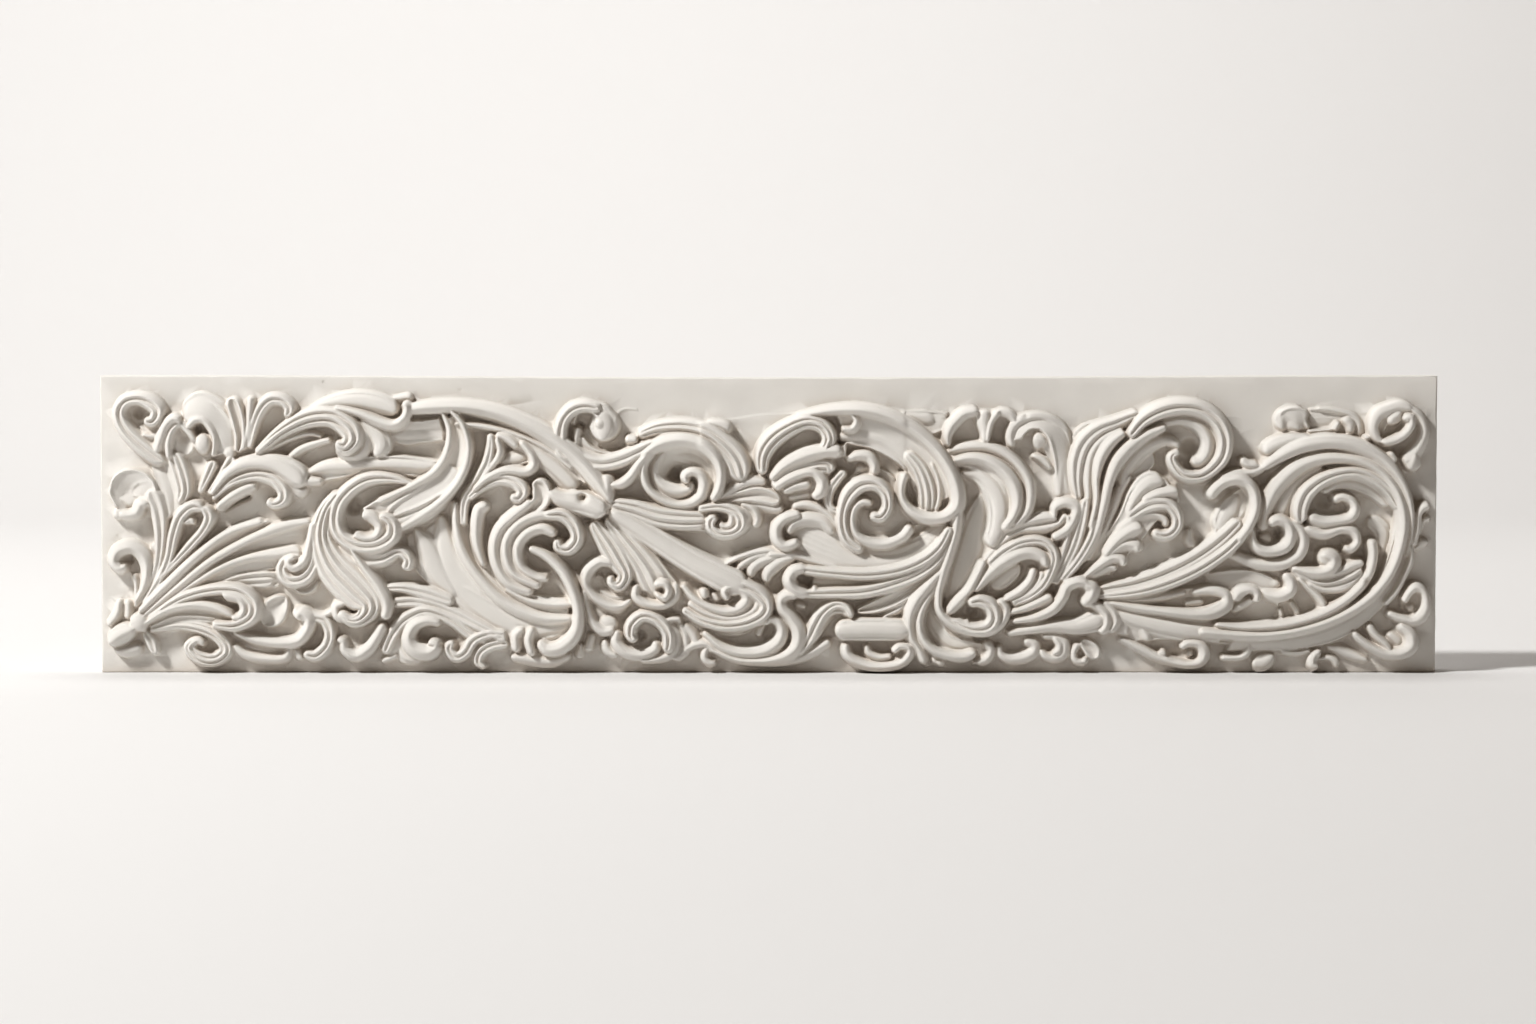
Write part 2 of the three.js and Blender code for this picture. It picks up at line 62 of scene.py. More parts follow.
# The carving stands at most this high above the slab's face, in mm.
RELIEF = 24
FACE = CREST_MOST + RELIEF

# The carving is set out on a grid: so many steps along the moulding and down it, counted from
# this left and this top.
STEPS_ALONG = 1335
STEPS_DOWN = 297
GRID_LEFT = 101
GRID_TOP = 376
# The carving is drawn in a little towards the middle, so that its margins stay even.
DRAWN_IN = 0.996
STEP = min(LENGTH / STEPS_ALONG, HEIGHT / STEPS_DOWN)

# Millimetres between neighbouring points of the worked surface, and between the closer points
# that strands and sheets are laid with, so that no place is missed.
GRAIN = 0.5
LAID = GRAIN * 0.4
MOST_TRIANGLES = 190000
# A strand's curve is first drawn with this many points a station, a ball with so many rings and
# spokes, and a fine line or the mould's seam with so many points.
ROUGHED = 24
BALL_RINGS = 90
BALL_SPOKES = 260
LINE_POINTS = 60
SEAM_POINTS = 200
# Rows of points through the slab's thickness and down its back.
ROWS_THROUGH = 16
ROWS_BACK = 26
# Faces that meet at more than this keep a sharp edge.
SHARP_FROM = math.radians(50)

# ---- How the carving is cut, in millimetres where no share is named ---------------------------

# A strand's flanks spread by this share of their height, as a casting's must. It is never thinner
# than this to each side, and its tip keeps this share of its width.
DRAFT = 0.14
THINNEST = 0.6
END_LEAST = 0.15
# Clefts narrower than twice this fill up to a share of the height around them.
CLEFT = 3
CLEFT_FILL = 0.35
# The valleys between flutes go down to this share of the crest.
FLUTE = 0.45
# The hollows are cut only where the carving is lower than this.
DRILLED_BELOW = 10
# A plain rib is this share ridge, the rest half circle.
KEEL = 0.4
# The valleys between a sheet's flutes are this deep.
FLUTE_SHEET = 1.3
# A sheet's edges have a lip this high and wide, and its face the marks of a toothed comb.
LIP_HIGH = 0.9
LIP_WIDE = 1.1
COMB_DEEP = 0.14
COMB_TOOTH = 2.6
COMB_SWAY = 0.9
# Strands that are wider than this to each side of the middle have a crease by each edge, so deep,
# and at and over these shares of the half width.
CREASED_FROM = 3.2
CREASE = 0.8
CREASE_AT = 0.64
CREASE_WIDE = 0.1
# The clay tool softens everything finer than this.
SOFTEN = 0.5
# Edges and creases are cut crisp by up to this much, judged against what lies within a reach.
CRISP = 0.6
CRISP_WITHIN = 1.5
# The casting's edges are worn round by about this much, give or take a share of it.
ARRIS = 1.3
ARRIS_WORN = 0.35
# The upper edge sags by this much in the middle of the length, from this share of the height up.
TOP_SAG = 1.6
SAG_FROM = 0.8
# The ground's swells: [seed, height, size].
SWELLS = [[3, 0.16, 160], [5, 0.05, 30]]

# A strand: [name, profile, heights of its edge from first station to last, rise of its crest,
# stations [steps along, steps down, half width in steps]]. A ball has one station and two radii.

# The fan of leaves that springs from the lower left corner.
CORNER = [
    ["corner_volute", "f2", [4, 8], 6, [[163, 462, 9], [143, 447, 9], [126, 430, 8], [119, 414, 7],
        [124, 402, 6.5], [137, 398, 6.5], [150, 402, 8], [158, 411, 8], [153, 421, 6],
        [144, 420, 4]]],
    ["corner_volute_leaf", "soft", [5], 3, [[142, 434, 2], [152, 436, 4], [160, 430, 3]]],
    ["hood_left_rim", "round", [6, 10], 5, [[156, 452, 5], [160, 440, 6], [166, 425, 6],
        [174, 418, 5], [181, 420, 3]]],
    ["hood_right_rim", "round", [8], 4, [[169, 458, 3], [168, 443, 4], [172, 430, 4],
        [180, 423, 4], [188, 430, 4], [195, 440, 3]]],
    ["hood_inside", "cup", [3], 3, [[185, 455, 12], [183, 440, 12], [181, 430, 6]]],
    ["lily_petal", "soft", [3, 5, 4], 3, [[186, 418, 5], [192, 405, 9], [207, 404, 11],
        [222, 416, 12], [229, 432, 12], [226, 452, 8]]],
    ["lily_hood", "round", [9], 4, [[188, 427, 3], [194, 420, 4], [203, 419, 4], [211, 428, 4],
        [215, 440, 3], [213, 456, 2]]],
    ["lily_bud", "ball", [8], 6, [[203, 443, 8, 10]]],
    ["petal_two", "cup", [6], 5, [[231, 397, 7], [237, 415, 7], [240, 435, 5], [238, 452, 3]]],
    ["petal_three", "round", [6], 5, [[251, 396, 4], [250, 412, 5], [248, 430, 5], [243, 450, 3]]],
    ["petal_loop", "f2", [6, 8], 5, [[249, 448, 3], [254, 425, 5], [261, 408, 6], [271, 399, 6],
        [283, 400, 6], [290, 408, 6], [286, 417, 4]]],
    ["round_petal", "cup", [1], 3, [[158, 492, 18], [140, 488, 20], [124, 490, 19],
        [113, 494, 8]]],
    ["round_petal_roll", "round", [5, 8], 5, [[119, 513, 4], [127, 515, 5], [136, 512, 6],
        [141, 504, 6], [148, 503, 4]]],
    ["round_petal_knob", "ball", [3], 4, [[117, 514, 5, 5]]],
    ["petal_stem", "f2", [4, 7], 5, [[133, 607, 2], [148, 588, 4], [157, 562, 5], [160, 535, 7],
        [158, 510, 9], [150, 490, 10]]],
    ["centre_veins", "f3", [5], 5, [[172, 452, 8], [179, 470, 9], [183, 490, 8], [178, 503, 5]]],
    ["bud_stalk", "f2", [6], 5, [[214, 460, 6], [207, 476, 5], [199, 493, 3]]],
    ["bud_stalk_two", "f2", [6], 5, [[233, 456, 6], [222, 474, 5], [208, 494, 3]]],
    ["small_bud", "ball", [6], 4, [[229, 452, 6, 6]]],
    ["crest_outer", "soft", [8, 12], 6, [[211, 494, 2], [228, 473, 6], [248, 463, 8],
        [272, 463, 10], [292, 472, 12], [304, 484, 9]]],
    ["crest_lobe_one", "round", [9], 4, [[292, 478, 5], [306, 480, 5], [322, 481, 3]]],
    ["crest_lobe_two", "round", [7], 5, [[290, 484, 6], [300, 489, 8], [307, 490, 7]]],
    ["crest_middle", "f2", [8, 12], 5, [[212, 499, 2], [232, 482, 4], [255, 475, 5.5],
        [273, 479, 6.5], [283, 489, 6.5], [283, 499, 6], [274, 504, 4], [267, 500, 3]]],
    ["crest_finger", "round", [8], 5, [[216, 509, 4], [231, 496, 6], [249, 486, 6],
        [256, 487, 5]]],
    ["curl_left", "round", [4, 8], 6, [[133, 603, 2], [142, 588, 5], [146, 570, 7], [142, 555, 8],
        [130, 547, 7], [117, 551, 7], [113, 561, 6], [119, 568, 5], [126, 565, 3]]],
    ["curl_left_vein", "round", [5], 3, [[134, 600, 2], [135, 586, 3], [132, 574, 3]]],
    ["tiny_bud", "soft", [4], 4, [[158, 556, 3], [152, 543, 7]]],
    ["teardrop_left", "f2", [6, 10], 5, [[142, 604, 2], [158, 580, 4], [168, 558, 5],
        [173, 535, 6], [180, 516, 6], [192, 506, 6], [203, 508, 5]]],
    ["teardrop_right", "f2", [10, 7], 5, [[203, 506, 5], [209, 516, 6], [203, 530, 5],
        [190, 545, 5], [176, 560, 4], [158, 580, 2]]],
    ["teardrop_lip", "round", [9], 3, [[184, 523, 3], [190, 519, 4], [194, 524, 2]]],
    ["fan_one", "round", [9, 10, 6], 4, [[138, 612, 3], [165, 585, 5], [197, 555, 5],
        [227, 533, 4], [262, 521, 4]]],
    ["fan_two", "round", [9, 10, 8], 3, [[142, 616, 3], [175, 588, 4], [208, 562, 4],
        [245, 541, 4], [282, 526, 5], [310, 521, 3]]],
    ["fan_three", "round", [9, 7], 3, [[146, 617, 3], [180, 592, 4], [215, 570, 4], [250, 557, 4],
        [300, 552, 8]]],
    ["fan_four", "f3", [6, 3], 3, [[150, 617, 2], [185, 596, 6], [220, 583, 9], [272, 579, 10]]],
    ["hook_outer", "f2", [8, 13], 6, [[148, 618, 2], [178, 599, 5], [208, 590, 6], [236, 590, 6],
        [252, 602, 7], [251, 616, 7], [235, 625, 6], [212, 624, 3]]],
    ["hook_inner", "round", [12], 5, [[222, 594, 4], [229, 595, 6], [240, 599, 5], [244, 609, 5],
        [239, 617, 5], [231, 617, 3]]],
    ["hook_lower", "round", [9, 11], 5, [[143, 624, 2], [165, 610, 4], [190, 604, 5],
        [214, 607, 5], [232, 615, 4]]],
    ["hook_lower_body", "f3", [6], 4, [[148, 627, 2], [175, 616, 6], [205, 617, 7],
        [232, 622, 5]]],
    ["foot_curl", "f3", [5, 8], 5, [[148, 630, 3], [178, 625, 5], [205, 630, 7], [221, 641, 7],
        [224, 652, 7], [213, 660, 7], [198, 658, 7], [188, 648, 6], [196, 640, 4], [203, 645, 3]]],
    ["root_ball", "ball", [10], 5, [[138, 622, 9, 9]]],
    ["root_bud", "round", [9, 6], 7, [[134, 628, 7], [120, 634, 10], [107, 644, 7]]],
    ["root_bud_lip", "soft", [4], 4, [[140, 647, 6], [125, 651, 7], [112, 650, 3]]],
    ["root_leaf", "f2", [5], 4, [[142, 630, 4], [149, 642, 6], [154, 655, 4]]],
    ["root_side_leaf", "round", [4], 4, [[118, 600, 3], [115, 614, 5], [106, 626, 4]]],
    ["root_side_leaf_two", "round", [4], 4, [[126, 600, 4], [127, 620, 6]]],
    ["shell", "cup", [3], 4, [[262, 626, 12], [272, 612, 14], [284, 597, 8]]],
]

# The wave leaf, the first arch and the ribbon that hangs from it.
CREST = [
    ["wave_crest", "f3", [8, 15], 6, [[256, 453, 4], [279, 433, 6], [305, 419, 9], [330, 416, 10],
        [348, 426, 11], [353, 438, 10], [345, 447, 7], [337, 441, 3]]],
    ["wave_under", "round", [7], 3, [[262, 453, 3], [285, 440, 3], [308, 433, 3], [322, 436, 2]]],
    ["wave_brace", "round", [5, 9], 4, [[285, 462, 4], [300, 449, 4], [318, 442, 3],
        [331, 439, 3]]],
    ["wave_lower_fold", "round", [8], 4, [[336, 448, 3], [346, 455, 5], [358, 454, 6],
        [366, 444, 7], [364, 425, 5]]],
    ["wave_top_leaf", "soft", [6, 11], 5, [[298, 418, 3], [325, 405, 7], [355, 400, 10],
        [382, 404, 10], [398, 411, 6]]],
    ["wave_top_rim", "round", [11, 15], 5, [[335, 407, 3], [358, 412, 4], [378, 420, 5],
        [394, 424, 5], [405, 417, 4], [408, 407, 4], [404, 402, 3]]],
    ["wave_top_tip", "round", [4], 4, [[382, 400, 2], [398, 398, 4], [412, 397, 6]]],
    ["wave_back_fold", "soft", [8], 5, [[360, 418, 7], [374, 430, 11], [381, 444, 11],
        [376, 456, 8]]],
    ["long_leaf", "soft", [5, 8], 4, [[303, 475, 2], [325, 467, 7], [355, 464, 9], [392, 463, 8],
        [430, 466, 7], [448, 470, 5]]],
    ["slot_leaf", "soft", [4], 3, [[390, 434, 10], [415, 430, 13], [445, 432, 8]]],
    ["main_arch", "round", [10, 12], 7, [[405, 409, 5], [440, 406, 7], [475, 407, 7],
        [510, 416, 8], [545, 433, 9], [575, 455, 9], [597, 480, 9], [611, 502, 7]]],
    ["main_arch_rim", "round", [10], 3, [[455, 423, 2], [485, 426, 3], [515, 434, 3],
        [545, 447, 3], [572, 468, 2]]],
    ["main_arch_skirt", "soft", [8], 5, [[505, 433, 3], [530, 448, 8], [555, 467, 11],
        [576, 489, 10]]],
    ["ribbon_outer", "round", [13, 16, 11], 3, [[451, 409, 2], [463, 424, 2.5], [469, 445, 3],
        [466, 466, 3.5], [456, 485, 3.5], [438, 503, 4], [418, 517, 4], [398, 528, 4]]],
    ["ribbon_inner", "round", [11, 14, 11], 3, [[443, 412, 2], [450, 430, 3], [447, 452, 3],
        [436, 470, 3], [416, 483, 3], [396, 493, 3], [378, 502, 4]]],
    ["ribbon_web", "cup", [9, 10], 4, [[452, 415, 6], [460, 440, 10], [452, 470, 12],
        [432, 490, 13], [405, 508, 12], [388, 518, 9]]],
    ["eye_loop", "f2", [8, 14], 6, [[412, 483, 2], [392, 478, 5], [370, 478, 7], [352, 487, 7],
        [339, 502, 7], [335, 520, 7], [341, 536, 7], [357, 545, 8], [376, 545, 8], [391, 536, 8],
        [392, 522, 6], [381, 514, 4]]],
    ["eye_hook", "round", [13], 5, [[362, 516, 3], [370, 515, 6], [380, 524, 6], [377, 535, 5],
        [366, 538, 4], [354, 534, 3]]],
    ["falling_leaf", "f4", [9, 12], 6, [[338, 492, 5], [325, 512, 8], [321, 538, 11],
        [332, 565, 17], [353, 588, 19], [368, 604, 14], [362, 617, 8], [350, 620, 6],
        [340, 611, 4]]],
    ["falling_leaf_edge", "round", [12], 5, [[350, 546, 2], [364, 567, 4], [378, 586, 6],
        [386, 604, 6], [384, 619, 5]]],
    ["falling_leaf_curl", "round", [9], 5, [[350, 617, 5], [338, 616, 6], [336, 606, 5],
        [344, 603, 4]]],
    ["side_leaf", "f2", [8, 11], 5, [[338, 548, 9], [358, 557, 12], [380, 558, 9], [398, 551, 6],
        [408, 559, 5], [405, 570, 6]]],
    ["left_curl", "round", [9, 11], 5, [[313, 522, 4], [309, 545, 4], [304, 560, 5], [293, 567, 5],
        [288, 560, 4], [295, 556, 3]]],
    ["left_curl_outer", "f2", [7, 9], 5, [[300, 556, 3], [286, 559, 5], [281, 570, 6],
        [288, 580, 7], [303, 578, 7], [313, 565, 6], [314, 548, 4]]],
    ["left_curl_shell", "cup", [3], 4, [[292, 582, 7], [304, 586, 9], [316, 578, 6]]],
]

# The row of leaves along the left foot, the great leaf and the second scroll.
FOOT = [
    ["row_stem", "round", [6, 10], 6, [[232, 632, 3], [252, 639, 5], [275, 643, 5], [296, 641, 6],
        [306, 630, 6], [308, 619, 7], [300, 613, 7], [296, 619, 7]]],
    ["row_bowl", "round", [6], 4, [[232, 645, 4], [245, 655, 5], [265, 659, 5], [283, 658, 5],
        [289, 647, 4]]],
    ["row_bowl_inside", "soft", [2], 3, [[240, 645, 3], [262, 650, 6], [284, 648, 4]]],
    ["row_crescent", "f2", [7, 9], 5, [[311, 617, 4], [324, 621, 6], [329, 634, 6], [325, 647, 6],
        [314, 656, 6], [303, 653, 4]]],
    ["row_stub", "round", [5], 4, [[293, 648, 4], [301, 660, 6]]],
    ["row_tips", "round", [8], 3, [[310, 614, 3], [322, 616, 3], [334, 610, 3]]],
    ["row_scroll", "round", [9, 8], 5, [[383, 623, 5], [377, 635, 6], [368, 648, 6], [355, 656, 6],
        [344, 650, 5], [342, 641, 4], [336, 640, 3]]],
    ["shell_scroll_rim", "f2", [6, 8, 6], 5, [[383, 654, 5], [392, 634, 7], [405, 619, 7],
        [425, 611, 6], [450, 620, 6], [472, 636, 6], [492, 642, 4]]],
    ["shell_scroll_roll", "round", [10, 12], 6, [[440, 623, 4], [427, 620, 5], [414, 625, 6],
        [408, 637, 7], [413, 648, 8], [427, 652, 8], [436, 645, 6], [428, 641, 4]]],
    ["shell_scroll_body", "soft", [4], 4, [[388, 655, 6], [400, 640, 12], [405, 655, 10],
        [422, 660, 5]]],
    ["shell_scroll_foot", "round", [5], 3, [[380, 662, 3], [396, 655, 4]]],
    ["low_leaf_left", "f2", [7, 8], 4, [[386, 588, 4], [403, 588, 5], [425, 593, 7],
        [452, 602, 6]]],
    ["low_leaf_band", "f2", [6, 9], 4, [[388, 603, 5], [415, 602, 7], [445, 610, 7], [478, 626, 6],
        [505, 640, 4]]],
    ["great_leaf_body", "soft", [4, 8], 3, [[440, 515, 3], [447, 548, 15], [462, 578, 24],
        [490, 605, 26], [525, 623, 22], [572, 622, 12]]],
    ["great_leaf_left", "soft", [4], 4, [[414, 528, 2], [425, 545, 11], [436, 570, 16],
        [455, 597, 8]]],
    ["great_rib", "round", [9, 12], 4, [[455, 500, 3], [456, 525, 4], [462, 550, 5], [478, 576, 5],
        [503, 601, 6], [540, 617, 6], [574, 618, 4]]],
    ["great_finger", "round", [12, 10], 5, [[488, 504, 5], [479, 509, 6], [476, 525, 6],
        [477, 545, 5], [484, 566, 3]]],
    ["volute_two_outer", "round", [14, 12], 5, [[532, 500, 5], [516, 513, 6], [500, 528, 6],
        [494, 547, 6], [498, 567, 6], [510, 583, 6], [532, 592, 5]]],
    ["volute_two_middle", "round", [14, 13], 5, [[560, 515, 5], [540, 514, 6], [520, 522, 6],
        [507, 538, 6], [506, 557, 6], [515, 574, 5], [540, 586, 4]]],
    ["volute_two_inner", "round", [14, 12], 5, [[556, 534, 4], [542, 527, 6], [526, 533, 6],
        [517, 547, 6], [520, 565, 5], [534, 576, 4], [548, 578, 3]]],
    ["volute_two_hook", "f2", [15, 14], 6, [[545, 514, 4], [562, 514, 7], [573, 523, 7],
        [577, 537, 6], [569, 548, 6], [559, 547, 5], [557, 538, 3]]],
    ["hooded_finger", "cup", [14, 12], 5, [[534, 480, 6], [541, 487, 9], [541, 500, 9],
        [530, 510, 6]]],
    ["flow_rib_one", "round", [10, 12], 4, [[505, 588, 3], [530, 600, 4], [555, 604, 4],
        [574, 603, 3]]],
    ["handle", "round", [14, 18, 16, 12], 4, [[529, 547, 3], [546, 555, 4], [562, 570, 4.5],
        [573, 590, 4.5], [578, 612, 5], [575, 632, 6], [562, 646, 6.5], [547, 649, 6],
        [538, 641, 4]]],
    ["handle_bowl_left", "round", [8], 5, [[523, 628, 5], [515, 636, 6], [516, 652, 5]]],
    ["handle_bowl_mid", "round", [10], 5, [[532, 627, 5], [528, 640, 5], [532, 655, 4]]],
    ["handle_bowl_base", "soft", [6], 4, [[510, 657, 4], [530, 659, 7], [552, 661, 7],
        [570, 655, 4]]],
    ["foot_roll_one", "f2", [8, 9], 5, [[505, 634, 4], [488, 634, 5], [473, 640, 6], [465, 652, 6],
        [455, 657, 6], [448, 648, 5], [453, 641, 3]]],
    ["foot_roll_two", "f2", [7, 6], 5, [[508, 643, 5], [492, 645, 6], [480, 652, 6], [477, 662, 5],
        [485, 668, 3]]],
]

# The sprig under the arch, the knuckle and the stem that leaves it.
SPRIG = [
    ["sprig_stem", "f2", [9, 13], 4, [[463, 525, 4], [465, 500, 5], [477, 480, 5], [487, 462, 5],
        [491, 446, 4], [491, 433, 3]]],
    ["sprig_lobe_one", "round", [11, 13], 4, [[474, 488, 3], [490, 468, 4], [500, 452, 4],
        [497, 437, 3]]],
    ["sprig_hood", "soft", [12], 4, [[496, 434, 3], [508, 438, 5], [518, 446, 4]]],
    ["sprig_cup_rim", "round", [12, 13], 5, [[521, 441, 3], [531, 453, 4], [534, 464, 5],
        [526, 471, 5], [505, 470, 5], [488, 477, 4], [474, 489, 2]]],
    ["sprig_cup", "soft", [8], 3, [[500, 463, 6], [515, 458, 9], [526, 455, 6]]],
    ["sprig_curl", "f2", [10, 14], 5, [[468, 498, 4], [483, 485, 5], [500, 478, 6], [515, 481, 7],
        [523, 490, 7], [518, 498, 5], [511, 495, 3]]],
    ["knuckle", "round", [14, 18], 6, [[549, 491, 4], [563, 499, 8], [585, 503, 11],
        [606, 511, 9]]],
    ["knuckle_collar", "round", [12, 14], 5, [[606, 473, 8], [607, 486, 7], [606, 499, 4]]],
    ["diagonal_stem", "round", [12, 14], 6, [[610, 510, 9], [628, 521, 10], [660, 541, 11],
        [690, 560, 12], [718, 575, 13], [745, 587, 13]]],
]

# The snail, the third scroll and the leaves on its stem.
SNAIL = [
    ["snail_hood", "f2", [12, 12, 11], 5, [[600, 408, 5], [585, 405, 6], [572, 409, 6],
        [563, 420, 6], [560, 435, 7], [562, 450, 7], [572, 458, 6]]],
    ["snail_ball", "soft", [8], 7, [[599, 409, 10], [604, 424, 15], [602, 441, 12]]],
    ["snail_eye", "ball", [14], 2, [[600, 423, 4, 4]]],
    ["snail_finger", "round", [7], 4, [[578, 426, 4], [576, 440, 4], [576, 452, 4]]],
    ["snail_feed", "f2", [10, 12, 14], 5, [[560, 449, 9], [580, 459, 10], [600, 463, 8],
        [620, 459, 8], [640, 450, 7], [655, 441, 4]]],
    ["claw", "round", [14, 12], 6, [[650, 450, 5], [639, 463, 5], [631, 475, 5], [621, 483, 5],
        [611, 484, 3]]],
    ["upper_nub", "round", [9], 5, [[625, 439, 4], [638, 440, 5]]],
    ["volute_three_outer", "f3", [8, 12, 12], 5, [[638, 435, 5], [658, 428, 7], [682, 427, 9],
        [704, 432, 10], [722, 444, 11], [735, 460, 12], [741, 479, 11]]],
    ["volute_three_flap", "round", [7], 5, [[706, 422, 3], [720, 425, 6], [730, 430, 7]]],
    ["volute_three_rim", "round", [14, 16, 15, 13], 6, [[642, 455, 5], [660, 443, 7],
        [682, 439, 7], [702, 444, 7], [716, 457, 6], [721, 472, 5], [719, 487, 5], [712, 500, 4]]],
    ["volute_three_left", "round", [14, 12, 10, 12, 14], 5, [[652, 450, 5], [645, 460, 4.5],
        [643, 472, 4.5], [648, 487, 4], [660, 498, 4], [675, 504, 4.5], [690, 503, 5],
        [701, 495, 6], [704, 483, 6], [700, 474, 5], [692, 471, 4], [685, 475, 4], [687, 482, 3]]],
    ["volute_three_inner", "round", [9, 8], 4, [[664, 450, 4], [656, 462, 5], [655, 475, 5],
        [663, 486, 7], [677, 491, 7], [689, 488, 5], [692, 481, 3]]],
    ["volute_three_cup", "soft", [3, 8], 3, [[668, 454, 6], [688, 455, 9], [704, 463, 10],
        [711, 476, 9], [708, 491, 7]]],
    ["cross_stem", "f3", [12, 12, 11], 5, [[610, 503, 6], [632, 508, 9], [656, 516, 11],
        [682, 519, 11], [706, 519, 9]]],
    ["cross_hook", "f2", [12, 14], 5, [[698, 508, 4], [720, 506, 5], [737, 512, 6], [741, 524, 6],
        [733, 532, 5], [720, 533, 5], [711, 527, 5], [711, 519, 5], [717, 517, 4]]],
    ["cross_hook_inner", "round", [12], 4, [[727, 507, 3], [732, 516, 4], [730, 525, 4],
        [722, 526, 4], [720, 521, 3]]],
    ["cross_fold_one", "round", [9], 4, [[742, 507, 4], [747, 517, 5], [743, 528, 4],
        [735, 533, 3]]],
    ["cross_fold_two", "round", [8], 5, [[740, 503, 4], [752, 508, 5], [757, 518, 5],
        [754, 527, 4]]],
    ["cross_leaf_one", "soft", [10, 9], 4, [[716, 500, 2], [730, 490, 5], [748, 481, 7],
        [766, 481, 5]]],
    ["cross_leaf_two", "cup", [9], 4, [[712, 503, 2], [738, 496, 5], [760, 494, 8],
        [780, 500, 6]]],
    ["cross_leaf_three", "soft", [7], 4, [[735, 502, 2], [760, 505, 5], [783, 510, 6]]],
]

# The hanging pods and the scroll at the end of the stem.
PODS = [
    ["pod_body", "f3", [10, 10, 8], 6, [[606, 517, 5], [628, 543, 11], [645, 566, 15],
        [655, 586, 18], [656, 596, 17]]],
    ["pod_rim", "round", [11], 5, [[636, 584, 4], [636, 596, 5], [648, 604, 5], [664, 604, 5],
        [675, 595, 5], [675, 583, 4]]],
    ["pod_eye", "round", [16], 4, [[655, 584, 3], [664, 583, 4], [668, 590, 4], [664, 597, 3],
        [656, 593, 2]]],
    ["twin_leaf", "f3", [10, 12], 6, [[592, 520, 6], [608, 543, 11], [618, 560, 11], [625, 574, 8],
        [619, 585, 6], [611, 582, 4], [611, 575, 3]]],
    ["twin_ring", "round", [12, 10, 8], 5, [[612, 563, 4], [600, 561, 5], [588, 570, 6],
        [585, 583, 5], [592, 595, 5], [606, 604, 5], [620, 606, 4], [631, 599, 3]]],
    ["twin_bowl", "soft", [4], 4, [[596, 590, 6], [610, 598, 8], [626, 598, 6]]],
    ["twin_lip", "round", [4], 4, [[602, 607, 3], [617, 611, 4], [629, 603, 3]]],
    ["side_dish", "round", [10], 4, [[583, 589, 3], [586, 606, 4], [592, 622, 4.5], [603, 631, 5],
        [614, 629, 4]]],
    ["side_dish_floor", "soft", [4], 3, [[595, 606, 8], [603, 622, 10]]],
    ["broken_fringe", "ball", [7], 4, [[607, 624, 10, 9]]],
    ["foot_finger_one", "round", [7], 4, [[592, 633, 4], [587, 651, 4]]],
    ["foot_finger_two", "round", [4], 4, [[581, 643, 3], [578, 659, 5]]],
    ["volute_four_outer", "f2", [14, 14, 12, 9], 6, [[736, 583, 8], [756, 592, 8], [766, 604, 7],
        [761, 615, 7], [744, 623, 6], [722, 625, 6], [699, 619, 5], [682, 608, 4]]],
    ["volute_four_mid", "round", [13, 12, 10], 4, [[752, 592, 4], [758, 603, 5], [750, 613, 5],
        [730, 618, 4], [706, 613, 4], [688, 602, 3]]],
    ["volute_four_rim", "round", [10, 12, 15], 5, [[682, 584, 3], [693, 597, 4], [708, 606, 4.5],
        [725, 611, 5], [739, 608, 6], [747, 598, 6], [741, 589, 5], [730, 586, 4], [724, 591, 3.5],
        [728, 599, 3]]],
    ["volute_four_peg", "round", [12], 4, [[703, 587, 5], [705, 598, 4]]],
    ["volute_four_floor", "soft", [8], 3, [[712, 592, 8], [718, 601, 8]]],
]

